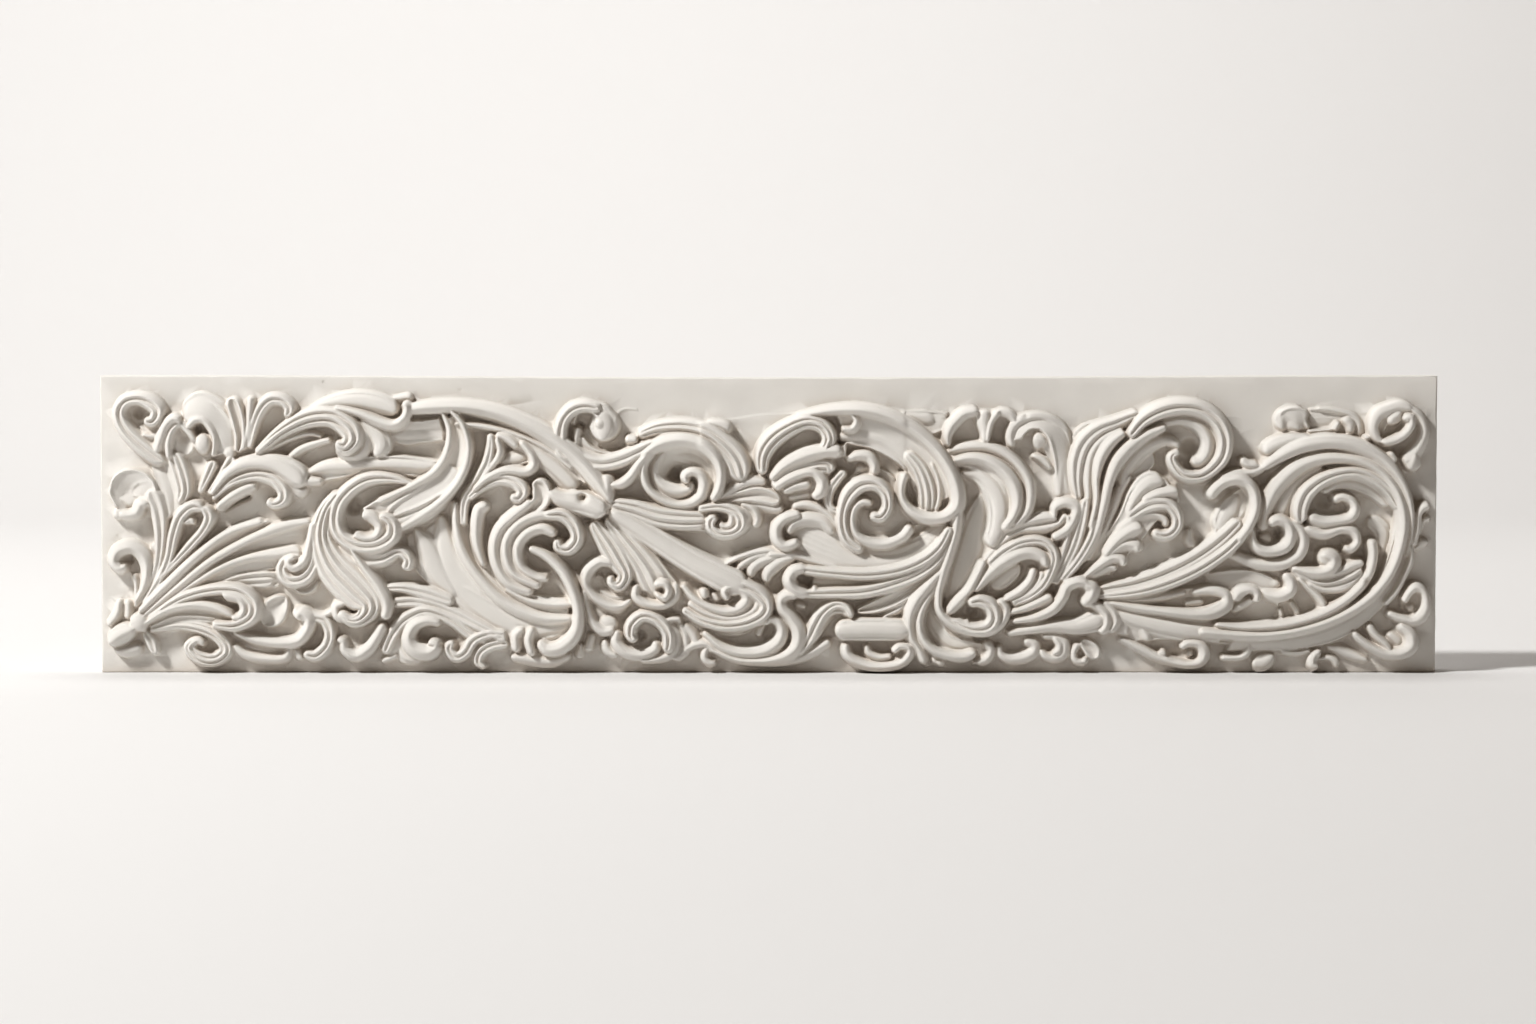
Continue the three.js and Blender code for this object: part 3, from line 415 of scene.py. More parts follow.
# The fluted wheel and the sweep along the middle of the foot.
WHEEL = [
    ["flute_leaf", "soft", [6], 4, [[604, 639, 4], [607, 649, 6], [617, 657, 4]]],
    ["flute_ring", "round", [9], 5, [[617, 630, 5], [616, 642, 6], [626, 652, 6], [642, 655, 6],
        [655, 649, 5], [655, 641, 4]]],
    ["flute_curl", "f2", [12], 6, [[667, 652, 5], [668, 634, 6], [658, 620, 6], [643, 615, 6],
        [632, 623, 6], [630, 635, 5], [636, 641, 3]]],
    ["flute_one", "round", [8], 4, [[665, 620, 4], [675, 635, 5], [673, 650, 6], [661, 658, 5],
        [640, 661, 3]]],
    ["flute_two", "round", [6], 4, [[677, 621, 4], [685, 635, 6], [684, 650, 6], [673, 660, 5]]],
    ["flute_lip", "round", [10], 3, [[664, 622, 3], [672, 619, 3], [681, 619, 3]]],
    ["flute_wing", "soft", [6], 4, [[683, 624, 4], [692, 634, 6], [697, 645, 5]]],
    ["flute_branch", "round", [7], 4, [[683, 651, 3], [694, 645, 4], [706, 644, 5],
        [715, 652, 4]]],
    ["flute_drop", "round", [7], 4, [[706, 648, 4], [704, 657, 4], [709, 663, 4], [716, 663, 3]]],
    ["low_sweep_ring", "round", [8, 9, 12], 5, [[703, 631, 3], [720, 646, 5], [740, 653, 6],
        [762, 652, 7], [777, 643, 7], [782, 631, 6], [778, 621, 5], [769, 618, 4], [766, 624, 3]]],
    ["low_sweep_outer", "round", [6, 9, 12, 13], 5, [[712, 650, 3], [735, 659, 4], [762, 661, 5],
        [785, 656, 6], [797, 645, 7], [798, 630, 7], [790, 617, 6], [782, 608, 6], [781, 599, 5],
        [789, 594, 5], [796, 597, 3]]],
    ["low_sweep_edge", "round", [7], 4, [[745, 662, 3], [775, 663, 4], [800, 657, 6],
        [819, 648, 5], [830, 641, 4]]],
    ["low_sweep_post", "round", [8], 3, [[764, 622, 3], [760, 630, 3], [758, 636, 3]]],
    ["low_arch", "f2", [8, 12], 5, [[797, 654, 5], [808, 640, 6], [815, 625, 7], [823, 612, 6],
        [835, 604, 5], [846, 607, 4], [852, 617, 3]]],
    ["low_arch_inner", "round", [9], 4, [[803, 650, 3], [815, 636, 4], [822, 622, 4],
        [832, 612, 3], [843, 611, 3], [848, 616, 3]]],
    ["low_arch_stub", "round", [5], 4, [[795, 604, 4], [806, 607, 3]]],
    ["log", "soft", [12], 5, [[835, 630, 10], [860, 629, 11], [885, 629, 11], [909, 630, 11]]],
    ["foot_hook", "round", [9, 9, 10, 12], 5, [[845, 643, 4], [848, 655, 5], [862, 664, 5],
        [880, 667, 5], [899, 664, 5], [909, 655, 5], [908, 647, 4], [899, 646, 4], [893, 652, 3]]],
    ["foot_hook_inner", "round", [7], 4, [[866, 644, 3], [869, 653, 4], [880, 658, 4],
        [892, 656, 3]]],
]

# The twin arch, the fifth scroll and the sheaf of long leaves.
TONGUE = [
    ["twin_arch", "f3", [9, 13, 14], 6, [[762, 474, 5], [763, 455, 8], [772, 440, 9],
        [788, 428, 8], [806, 421, 7], [822, 425, 7], [829, 437, 7], [824, 450, 5]]],
    ["arch_hook", "round", [12], 5, [[850, 412, 3], [856, 420, 4], [852, 428, 4], [841, 428, 3]]],
    ["arch_two_body", "soft", [8, 8], 3, [[838, 437, 5], [858, 434, 9], [880, 437, 11],
        [900, 449, 11], [914, 466, 9], [922, 486, 8]]],
    ["arch_two_rim", "round", [9, 14, 15, 15, 13, 11], 6, [[796, 417, 4], [828, 410, 5],
        [860, 409, 6], [885, 414, 6], [906, 424, 6], [925, 438, 6], [940, 454, 6], [951, 472, 6],
        [957, 490, 7], [956, 506, 7], [944, 516, 6], [926, 517, 6], [911, 510, 5], [902, 498, 4],
        [901, 486, 4], [905, 472, 4]]],
    ["loop_flutes", "f3", [10, 9], 5, [[906, 452, 6], [918, 466, 8], [925, 483, 9], [927, 498, 9],
        [926, 512, 8]]],
    ["loop_rib", "round", [9], 4, [[931, 462, 3], [938, 480, 3], [939, 497, 3], [935, 511, 3]]],
    ["tongue_finger", "round", [10, 15], 6, [[770, 479, 4], [785, 465, 7], [805, 455, 8],
        [825, 450, 7], [841, 450, 7]]],
    ["tongue_band", "f3", [11], 5, [[772, 485, 4], [790, 473, 5], [810, 467, 6], [826, 466, 8],
        [829, 473, 6]]],
    ["tongue_curl", "round", [13], 5, [[774, 487, 4], [793, 476, 5], [811, 471, 5], [821, 479, 6],
        [821, 490, 6], [813, 497, 4]]],
    ["tongue_inner", "round", [12], 4, [[783, 491, 3], [796, 485, 5], [810, 483, 5]]],
    ["tongue_face", "soft", [6], 4, [[788, 497, 4], [802, 495, 6], [812, 492, 5]]],
    ["dome_crest", "round", [9], 4, [[792, 507, 4], [804, 504, 5], [819, 508, 5], [832, 517, 5],
        [838, 528, 4]]],
    ["dome_ring", "round", [12, 14], 5, [[800, 513, 4], [786, 517, 5], [777, 526, 5.5],
        [777, 538, 5.5], [784, 545, 5], [793, 543, 4.5], [797, 539, 4]]],
    ["dome_second", "round", [11], 4, [[833, 532, 4], [822, 521, 6], [806, 518, 7], [793, 523, 6],
        [788, 533, 3]]],
    ["second_hook", "f2", [10], 4, [[845, 470, 4], [836, 480, 5], [829, 492, 5], [829, 505, 4],
        [838, 512, 4]]],
    ["thumb", "round", [9], 5, [[846, 459, 3], [857, 455, 5], [868, 456, 6], [874, 465, 5],
        [873, 475, 4]]],
    ["thumb_floor", "soft", [5], 3, [[858, 465, 8], [862, 472, 8]]],
    ["volute_five_outer", "f2", [16, 15, 13, 10], 6, [[870, 514, 4], [880, 516, 5], [887, 506, 5],
        [885, 492, 6], [874, 483, 7], [860, 484, 8], [849, 494, 8], [843, 508, 6], [842, 524, 6],
        [848, 540, 6], [862, 550, 5]]],
    ["volute_five_mid", "round", [13, 12, 12, 13], 5, [[872, 503, 3], [862, 501, 4], [854, 508, 4],
        [852, 522, 4], [857, 535, 4.5], [870, 542, 5], [886, 543, 5], [902, 536, 5],
        [911, 525, 5]]],
    ["great_sheet", "soft", [4, 6], 3, [[806, 524, 8], [826, 543, 13], [855, 554, 13],
        [890, 554, 10], [922, 543, 9], [943, 525, 6]]],
    ["sheet_edge", "round", [10], 4, [[768, 554, 3], [793, 554, 5], [813, 561, 4], [838, 568, 3]]],
    ["tongue_top", "f2", [14], 5, [[803, 569, 5], [830, 572, 5], [865, 574, 6], [897, 570, 6],
        [922, 560, 6], [939, 546, 5], [950, 526, 4]]],
    ["tongue_end", "round", [13, 15, 13], 6, [[806, 567, 5], [794, 570, 6], [789, 579, 6],
        [795, 589, 6], [808, 594, 5]]],
    ["tongue_bottom", "f2", [13, 12], 5, [[805, 593, 4], [830, 592, 6], [862, 591, 7],
        [891, 584, 7], [917, 574, 7], [936, 560, 6], [948, 541, 4]]],
    ["tongue_floor", "soft", [8], 2, [[812, 582, 7], [850, 582, 7], [890, 578, 6]]],
    ["tongue_nub", "round", [14], 3, [[814, 585, 2.5], [815, 592, 2]]],
    ["blade_one", "cup", [7, 10], 4, [[857, 611, 3], [876, 606, 7], [897, 597, 8], [917, 583, 7],
        [935, 566, 5], [946, 549, 3]]],
    ["blade_two", "soft", [6, 9], 4, [[882, 618, 2], [898, 609, 5], [917, 594, 6], [934, 577, 5],
        [944, 561, 3]]],
    ["fan_petal_one", "round", [8], 4, [[725, 564, 2], [741, 556, 3], [761, 551, 4],
        [783, 550, 3]]],
    ["fan_petal_two", "round", [8], 4, [[737, 570, 3], [745, 562, 5], [757, 556, 5],
        [778, 553, 3]]],
    ["fan_petal_three", "round", [9], 4, [[750, 577, 4], [753, 567, 6], [764, 560, 6],
        [780, 556, 4]]],
    ["fan_petal_four", "round", [10], 4, [[766, 582, 3], [768, 572, 6], [780, 561, 7],
        [795, 556, 5]]],
]

# The wheel leaf, the long ring and the seed pod.
BOWL = [
    ["crumb_bank", "soft", [3], 4, [[898, 414, 4], [916, 418, 9], [934, 420, 11]]],
    ["leaf_arch_left", "round", [8], 5, [[948, 446, 3], [947, 435, 5], [953, 423, 6],
        [964, 413, 6], [978, 410, 5]]],
    ["leaf_arch_middle", "soft", [8], 4, [[985, 409, 8], [984, 420, 8], [985, 432, 5],
        [984, 442, 3]]],
    ["leaf_arch_rib", "round", [9], 4, [[998, 410, 4], [991, 421, 3], [988, 432, 3],
        [987, 441, 2]]],
    ["leaf_arch_right", "round", [6], 4, [[996, 411, 4], [1008, 413, 5], [1016, 421, 4]]],
    ["cowl", "round", [6, 7, 5, 2], 3, [[1012, 447, 4], [1010, 436, 5], [1014, 425, 5],
        [1024, 418, 5], [1038, 416, 5], [1051, 420, 6], [1061, 431, 8], [1066, 446, 7]]],
    ["cowl_ball", "round", [7], 5, [[1033, 437, 11], [1046, 440, 12]]],
    ["cowl_tail", "soft", [6, 4], 3, [[1044, 436, 8], [1055, 448, 11], [1060, 464, 8],
        [1060, 482, 6], [1060, 498, 5]]],
    ["cowl_crumbs", "soft", [6], 3, [[1032, 455, 2], [1043, 459, 4], [1051, 468, 3]]],
    ["wheel_outer", "round", [7, 10, 12, 12], 4, [[948, 451, 4], [965, 447, 5], [985, 446, 5],
        [1003, 452, 5], [1018, 464, 5], [1028, 480, 5], [1030, 497, 5], [1026, 512, 5],
        [1014, 525, 4]]],
    ["wheel_second", "round", [9, 12, 13, 13], 5, [[951, 461, 4], [968, 457, 5], [985, 459, 6],
        [1001, 468, 7], [1013, 483, 7], [1017, 500, 6], [1013, 515, 5], [1003, 529, 4]]],
    ["wheel_third", "soft", [4, 8, 11, 11], 4, [[960, 472, 5], [978, 474, 8], [992, 486, 11],
        [999, 504, 11], [998, 526, 10], [990, 546, 8]]],
    ["long_ring", "round", [13, 12, 12, 12], 5, [[957, 508, 5], [955, 530, 5], [949, 552, 5],
        [942, 574, 5], [938, 595, 4], [940, 611, 4], [952, 623, 5], [970, 630, 5], [988, 631, 5],
        [1001, 622, 5], [1006, 609, 5], [999, 599, 4]]],
    ["inner_sheet", "soft", [3, 5], 2, [[984, 492, 3], [976, 528, 17], [965, 566, 20],
        [952, 605, 9]]],
    ["pod_stalk", "round", [11, 12], 5, [[947, 613, 5], [957, 602, 6], [968, 591, 5],
        [976, 577, 4], [984, 560, 4]]],
    ["eye_ring", "f2", [15, 15, 14, 12], 5, [[968, 603, 4], [979, 600, 6], [990, 605, 7],
        [994, 616, 7], [989, 626, 7], [977, 629, 6], [963, 626, 5], [950, 619, 4]]],
    ["eye_lip", "round", [11], 3, [[956, 618, 3], [963, 622, 3], [969, 620, 2]]],
    ["pod_shell_one", "round", [9], 4, [[985, 560, 3], [1002, 542, 5], [1020, 530, 6],
        [1042, 528, 6], [1058, 523, 4], [1066, 513, 3]]],
    ["pod_shell_two", "f2", [11, 13, 13, 12, 10], 5, [[988, 564, 4], [1003, 551, 5],
        [1020, 542, 5], [1038, 540, 5], [1050, 546, 5], [1054, 558, 5], [1050, 572, 5],
        [1043, 585, 5], [1030, 596, 4], [1012, 604, 3]]],
    ["pod_shell_three", "round", [10, 14, 14], 5, [[974, 591, 4], [990, 572, 6], [1008, 558, 7],
        [1027, 551, 7], [1042, 556, 6], [1046, 566, 4]]],
    ["pod_floor", "soft", [7], 2, [[992, 588, 8], [1006, 574, 11], [1020, 564, 8]]],
    ["pod_inner_rim", "round", [12], 4, [[1034, 567, 4], [1030, 580, 4], [1020, 591, 4],
        [1005, 599, 3]]],
    ["pod_outer_rim", "round", [11], 4, [[1043, 571, 3], [1038, 583, 4], [1026, 594, 4],
        [1011, 602, 3]]],
    ["top_blade", "round", [10], 4, [[1003, 531, 3], [1025, 522, 5], [1045, 517, 5],
        [1057, 517, 4]]],
    ["top_loop", "round", [10, 12], 4, [[1054, 517, 3], [1055, 507, 4], [1066, 502, 5],
        [1076, 507, 6], [1074, 518, 5], [1066, 530, 5], [1052, 538, 4]]],
    ["s_sheet", "round", [11, 12, 12, 10, 8], 5, [[946, 566, 4], [929, 584, 6], [915, 602, 7],
        [909, 620, 6], [911, 637, 6], [920, 651, 6], [925, 664, 5]]],
    ["s_sheet_inner", "round", [10, 12, 12, 11], 4, [[938, 584, 3], [925, 602, 4], [919, 620, 4],
        [922, 637, 4], [932, 649, 4], [947, 655, 4], [963, 657, 5], [976, 652, 4]]],
    ["s_bowl", "soft", [2, 4, 6], 2, [[930, 606, 5], [938, 628, 9], [954, 643, 10],
        [975, 645, 8]]],
    ["s_lobe", "round", [8], 4, [[985, 641, 4], [991, 650, 5], [987, 659, 5], [977, 663, 4]]],
    ["bead_neck", "round", [5], 4, [[933, 653, 3], [936, 664, 4]]],
    ["bead", "ball", [5], 5, [[941, 662, 5, 5]]],
    ["drip", "round", [5], 4, [[974, 661, 3], [977, 664, 4]]],
    ["finger_one", "round", [10, 12], 5, [[1010, 612, 3], [1026, 607, 5], [1042, 600, 6],
        [1052, 595, 5]]],
    ["finger_two", "round", [9, 12, 13], 6, [[1012, 621, 3], [1035, 617, 5], [1052, 609, 6],
        [1062, 597, 6], [1067, 586, 6], [1078, 581, 6], [1088, 583, 5]]],
    ["finger_three", "soft", [9, 12], 4, [[1007, 633, 3], [1030, 629, 5], [1055, 626, 6],
        [1078, 626, 8], [1104, 618, 12]]],
    ["knee", "round", [13], 6, [[1083, 583, 5], [1092, 588, 7], [1090, 597, 7], [1082, 604, 6]]],
    ["knee_curl", "round", [12], 4, [[1082, 600, 4], [1091, 603, 4], [1099, 607, 5],
        [1106, 615, 5], [1106, 625, 5], [1100, 633, 4]]],
    ["knee_curl_outer", "round", [10], 4, [[1103, 601, 4], [1112, 610, 5], [1116, 621, 5],
        [1110, 632, 4]]],
    ["foot_ring_one", "round", [7], 4, [[1024, 640, 4], [1034, 644, 6], [1034, 652, 6],
        [1024, 658, 6], [1010, 659, 5], [1001, 654, 4], [999, 645, 3]]],
    ["foot_ring_two", "round", [7], 4, [[1042, 636, 3], [1055, 636, 5], [1064, 643, 6],
        [1064, 653, 6], [1056, 658, 5], [1046, 656, 4], [1041, 650, 3]]],
    ["foot_ring_knob", "round", [9], 3, [[1054, 637, 3], [1060, 644, 4], [1059, 651, 4],
        [1053, 653, 3]]],
    ["foot_hook_small", "round", [6], 4, [[1079, 643, 4], [1074, 653, 4], [1077, 661, 4],
        [1085, 662, 4], [1085, 657, 3]]],
    ["ribbon_end", "cup", [6], 3, [[1082, 640, 5], [1093, 651, 8], [1096, 660, 6]]],
]

# The plume, its spiral and the fringed bulb.
PLUME = [
    ["plume_one", "f2", [6, 8, 9, 9], 4, [[1079, 500, 4], [1076, 480, 6], [1077, 460, 8],
        [1084, 442, 8], [1098, 429, 7], [1118, 421, 6], [1138, 412, 4]]],
    ["plume_two", "round", [7, 9], 4, [[1082, 525, 3], [1088, 498, 4], [1088, 475, 6],
        [1092, 453, 6], [1104, 438, 6], [1122, 428, 4]]],
    ["plume_three", "round", [10, 12], 5, [[1090, 528, 3], [1096, 500, 3], [1096, 478, 4],
        [1100, 458, 6], [1110, 442, 6], [1124, 431, 4]]],
    ["plume_four", "round", [8, 12, 14, 14], 4, [[1082, 562, 3], [1092, 545, 3.5], [1097, 530, 4],
        [1103, 505, 5], [1108, 483, 5], [1116, 462, 6], [1129, 446, 6], [1146, 434, 5],
        [1165, 426, 3]]],
    ["plume_under", "soft", [7, 7, 8], 4, [[1122, 487, 4], [1126, 468, 8], [1137, 452, 10],
        [1152, 443, 8], [1167, 440, 6], [1179, 447, 4]]],
    ["plume_side", "round", [7], 4, [[1088, 560, 3], [1104, 530, 4], [1113, 508, 5],
        [1120, 490, 5], [1130, 475, 3]]],
    ["stem_one", "round", [10], 4, [[1068, 514, 3], [1068, 532, 4], [1063, 552, 4], [1056, 570, 3],
        [1052, 583, 3]]],
    ["stem_two", "f2", [10], 4, [[1086, 498, 4], [1082, 520, 6], [1075, 545, 6], [1064, 568, 5],
        [1055, 584, 3]]],
    ["stem_three", "f2", [11], 4, [[1097, 518, 4], [1090, 540, 5], [1077, 562, 5],
        [1062, 580, 4]]],
    ["spiral_outer", "f2", [13, 14, 13, 12, 11, 11, 11], 6, [[1128, 436, 5], [1142, 420, 7],
        [1160, 410, 8], [1180, 406, 8], [1200, 409, 8], [1216, 420, 8], [1224, 437, 8],
        [1222, 455, 8], [1211, 469, 7], [1197, 476, 6], [1182, 474, 6], [1173, 464, 5],
        [1171, 455, 4], [1179, 451, 3]]],
    ["spiral_inner", "round", [9, 9, 10], 4, [[1162, 423, 4], [1180, 419, 5], [1197, 424, 6],
        [1207, 437, 6], [1207, 451, 6], [1200, 461, 5], [1191, 461, 4]]],
    ["bulb_petal", "round", [8, 9], 6, [[1127, 514, 5], [1136, 496, 10], [1149, 483, 12],
        [1163, 481, 8]]],
    ["bulb_tongue", "round", [11], 5, [[1142, 500, 5], [1160, 493, 7], [1178, 490, 5]]],
    ["bulb_curl", "f2", [10, 12, 12, 11], 5, [[1128, 517, 5], [1147, 505, 8], [1165, 503, 7],
        [1175, 512, 6], [1177, 524, 5.5], [1170, 533, 5.5], [1160, 535, 5], [1153, 530, 4]]],
    ["bulb_inner", "round", [10], 4, [[1118, 532, 5], [1135, 518, 6], [1152, 513, 5],
        [1164, 518, 4], [1166, 526, 3]]],
    ["bulb_finger_one", "round", [9, 12], 6, [[1104, 556, 6], [1118, 539, 8], [1132, 529, 8],
        [1142, 527, 6]]],
    ["bulb_finger_two", "round", [9, 11], 5, [[1097, 570, 4], [1110, 554, 6], [1123, 544, 7],
        [1135, 545, 7], [1137, 552, 4]]],
    ["bulb_finger_three", "round", [9, 11], 5, [[1084, 577, 3], [1098, 566, 5], [1112, 557, 6],
        [1122, 559, 5], [1123, 566, 3]]],
    ["bulb_finger_four", "round", [9], 4, [[1078, 578, 3], [1095, 573, 5], [1109, 566, 5],
        [1117, 569, 3]]],
    ["dart", "soft", [4], 4, [[1190, 528, 2], [1190, 540, 5], [1196, 548, 4]]],
]

# The long sweep and the great ring scroll on the right.
SWEEP = [
    ["sweep_upper", "f2", [6, 8, 9, 10, 11], 5, [[1092, 592, 4], [1108, 588, 5], [1135, 583, 7],
        [1165, 573, 8], [1195, 558, 8], [1220, 540, 8], [1240, 520, 6]]],
    ["sweep_lower", "f2", [8, 12, 13, 14], 5, [[1094, 596, 3], [1112, 595, 4], [1140, 591, 5],
        [1170, 582, 6], [1200, 568, 6], [1226, 550, 6], [1246, 530, 5]]],
    ["sweep_leaf", "round", [7], 4, [[1105, 599, 3], [1130, 600, 5], [1160, 597, 5],
        [1186, 592, 3]]],
    ["spoon", "round", [8, 11, 13, 13, 11, 9], 4, [[1192, 592, 4], [1210, 590, 5], [1225, 594, 5],
        [1226, 604, 7], [1213, 612, 7], [1195, 614, 5], [1165, 611, 4], [1135, 607, 4],
        [1108, 602, 3]]],
    ["spoon_floor", "soft", [5], 3, [[1185, 604, 4], [1205, 601, 7]]],
    ["lower_sheet", "soft", [6, 8, 9], 5, [[1112, 612, 8], [1145, 621, 12], [1185, 629, 12],
        [1225, 633, 9]]],
    ["lobe_one", "round", [6], 4, [[1118, 610, 5], [1123, 625, 8], [1128, 635, 6]]],
    ["lobe_two", "round", [6], 4, [[1132, 612, 4], [1143, 628, 6], [1150, 641, 6]]],
    ["lower_ring", "round", [9, 9, 8, 6, 5], 4, [[1181, 648, 3], [1189, 643, 4], [1200, 644, 5],
        [1205, 653, 6], [1201, 662, 5], [1189, 665, 4], [1174, 662, 4], [1158, 657, 4],
        [1140, 648, 4], [1120, 638, 3]]],
    ["lower_ring_floor", "soft", [4], 3, [[1188, 652, 7], [1194, 655, 6]]],
    ["chalk_break", "soft", [7], 3, [[1160, 652, 4], [1167, 655, 4]]],
    ["ring_eye", "round", [10, 13, 13, 14], 6, [[1209, 498, 5], [1214, 489, 6], [1224, 481, 6],
        [1238, 478, 6], [1249, 484, 5.5], [1255, 497, 5.5], [1254, 512, 5], [1247, 527, 5],
        [1237, 540, 5]]],
    ["ring_eye_floor", "soft", [8, 7, 5], 3, [[1220, 532, 11], [1230, 511, 12], [1238, 495, 7]]],
    ["ring_eye_leaf", "round", [10], 4, [[1219, 477, 3], [1233, 473, 4], [1250, 472, 5],
        [1264, 466, 4]]],
    ["fork_prong", "round", [9], 5, [[1240, 458, 4], [1247, 464, 5], [1258, 465, 5]]],
    ["fork_stump", "soft", [10], 4, [[1263, 452, 6], [1276, 445, 8], [1292, 440, 7],
        [1310, 438, 4]]],
    ["ring_one", "round", [12, 15, 15, 14, 12, 8], 4, [[1262, 467, 4], [1280, 455, 6],
        [1302, 445, 7], [1330, 441, 7], [1358, 446, 7], [1382, 459, 6], [1399, 479, 5],
        [1409, 503, 4], [1411, 530, 3], [1406, 556, 3]]],
    ["ring_two", "round", [8, 12, 13, 13, 13, 12, 12, 13], 5, [[1262, 530, 5], [1267, 505, 7],
        [1278, 484, 8], [1295, 468, 8], [1315, 459, 7], [1340, 457, 6], [1364, 462, 6],
        [1384, 475, 6], [1397, 494, 6], [1403, 518, 6], [1400, 545, 5], [1390, 572, 5],
        [1371, 596, 5], [1344, 614, 5], [1310, 627, 5], [1272, 634, 5], [1236, 634, 5],
        [1200, 631, 4]]],
    ["ring_two_bank", "soft", [7, 8], 3, [[1278, 520, 8], [1286, 498, 10], [1300, 478, 10],
        [1322, 466, 7]]],
    ["ring_three", "f2", [13, 14, 14, 13, 11], 5, [[1300, 522, 7], [1300, 507, 8], [1306, 492, 8],
        [1320, 480, 7], [1338, 473, 6], [1356, 472, 6], [1374, 479, 6], [1388, 491, 5],
        [1398, 508, 4]]],
    ["ring_three_wall", "soft", [10, 9, 8, 7, 6], 2, [[1322, 491, 3], [1336, 483, 6],
        [1355, 482, 8], [1375, 490, 8], [1391, 505, 6]]],
    ["ring_three_tail", "round", [11, 12], 5, [[1304, 527, 6], [1323, 533, 6], [1341, 528, 5],
        [1353, 531, 5], [1357, 541, 4], [1350, 549, 4], [1344, 546, 3]]],
    ["tiny_spiral", "round", [10, 11, 12, 12], 5, [[1333, 500, 5], [1341, 496, 4], [1351, 500, 4],
        [1355, 509, 5], [1349, 518, 5], [1335, 521, 5], [1320, 521, 6], [1308, 515, 6]]],
    ["ring_floor", "soft", [2], 2, [[1370, 518, 8], [1384, 532, 9], [1384, 556, 8]]],
    ["ring_four", "round", [12, 12, 12, 11], 5, [[1371, 539, 5], [1373, 556, 5], [1368, 575, 5],
        [1355, 592, 5], [1335, 607, 5], [1310, 618, 4], [1280, 625, 4], [1245, 627, 4],
        [1215, 624, 3]]],
]

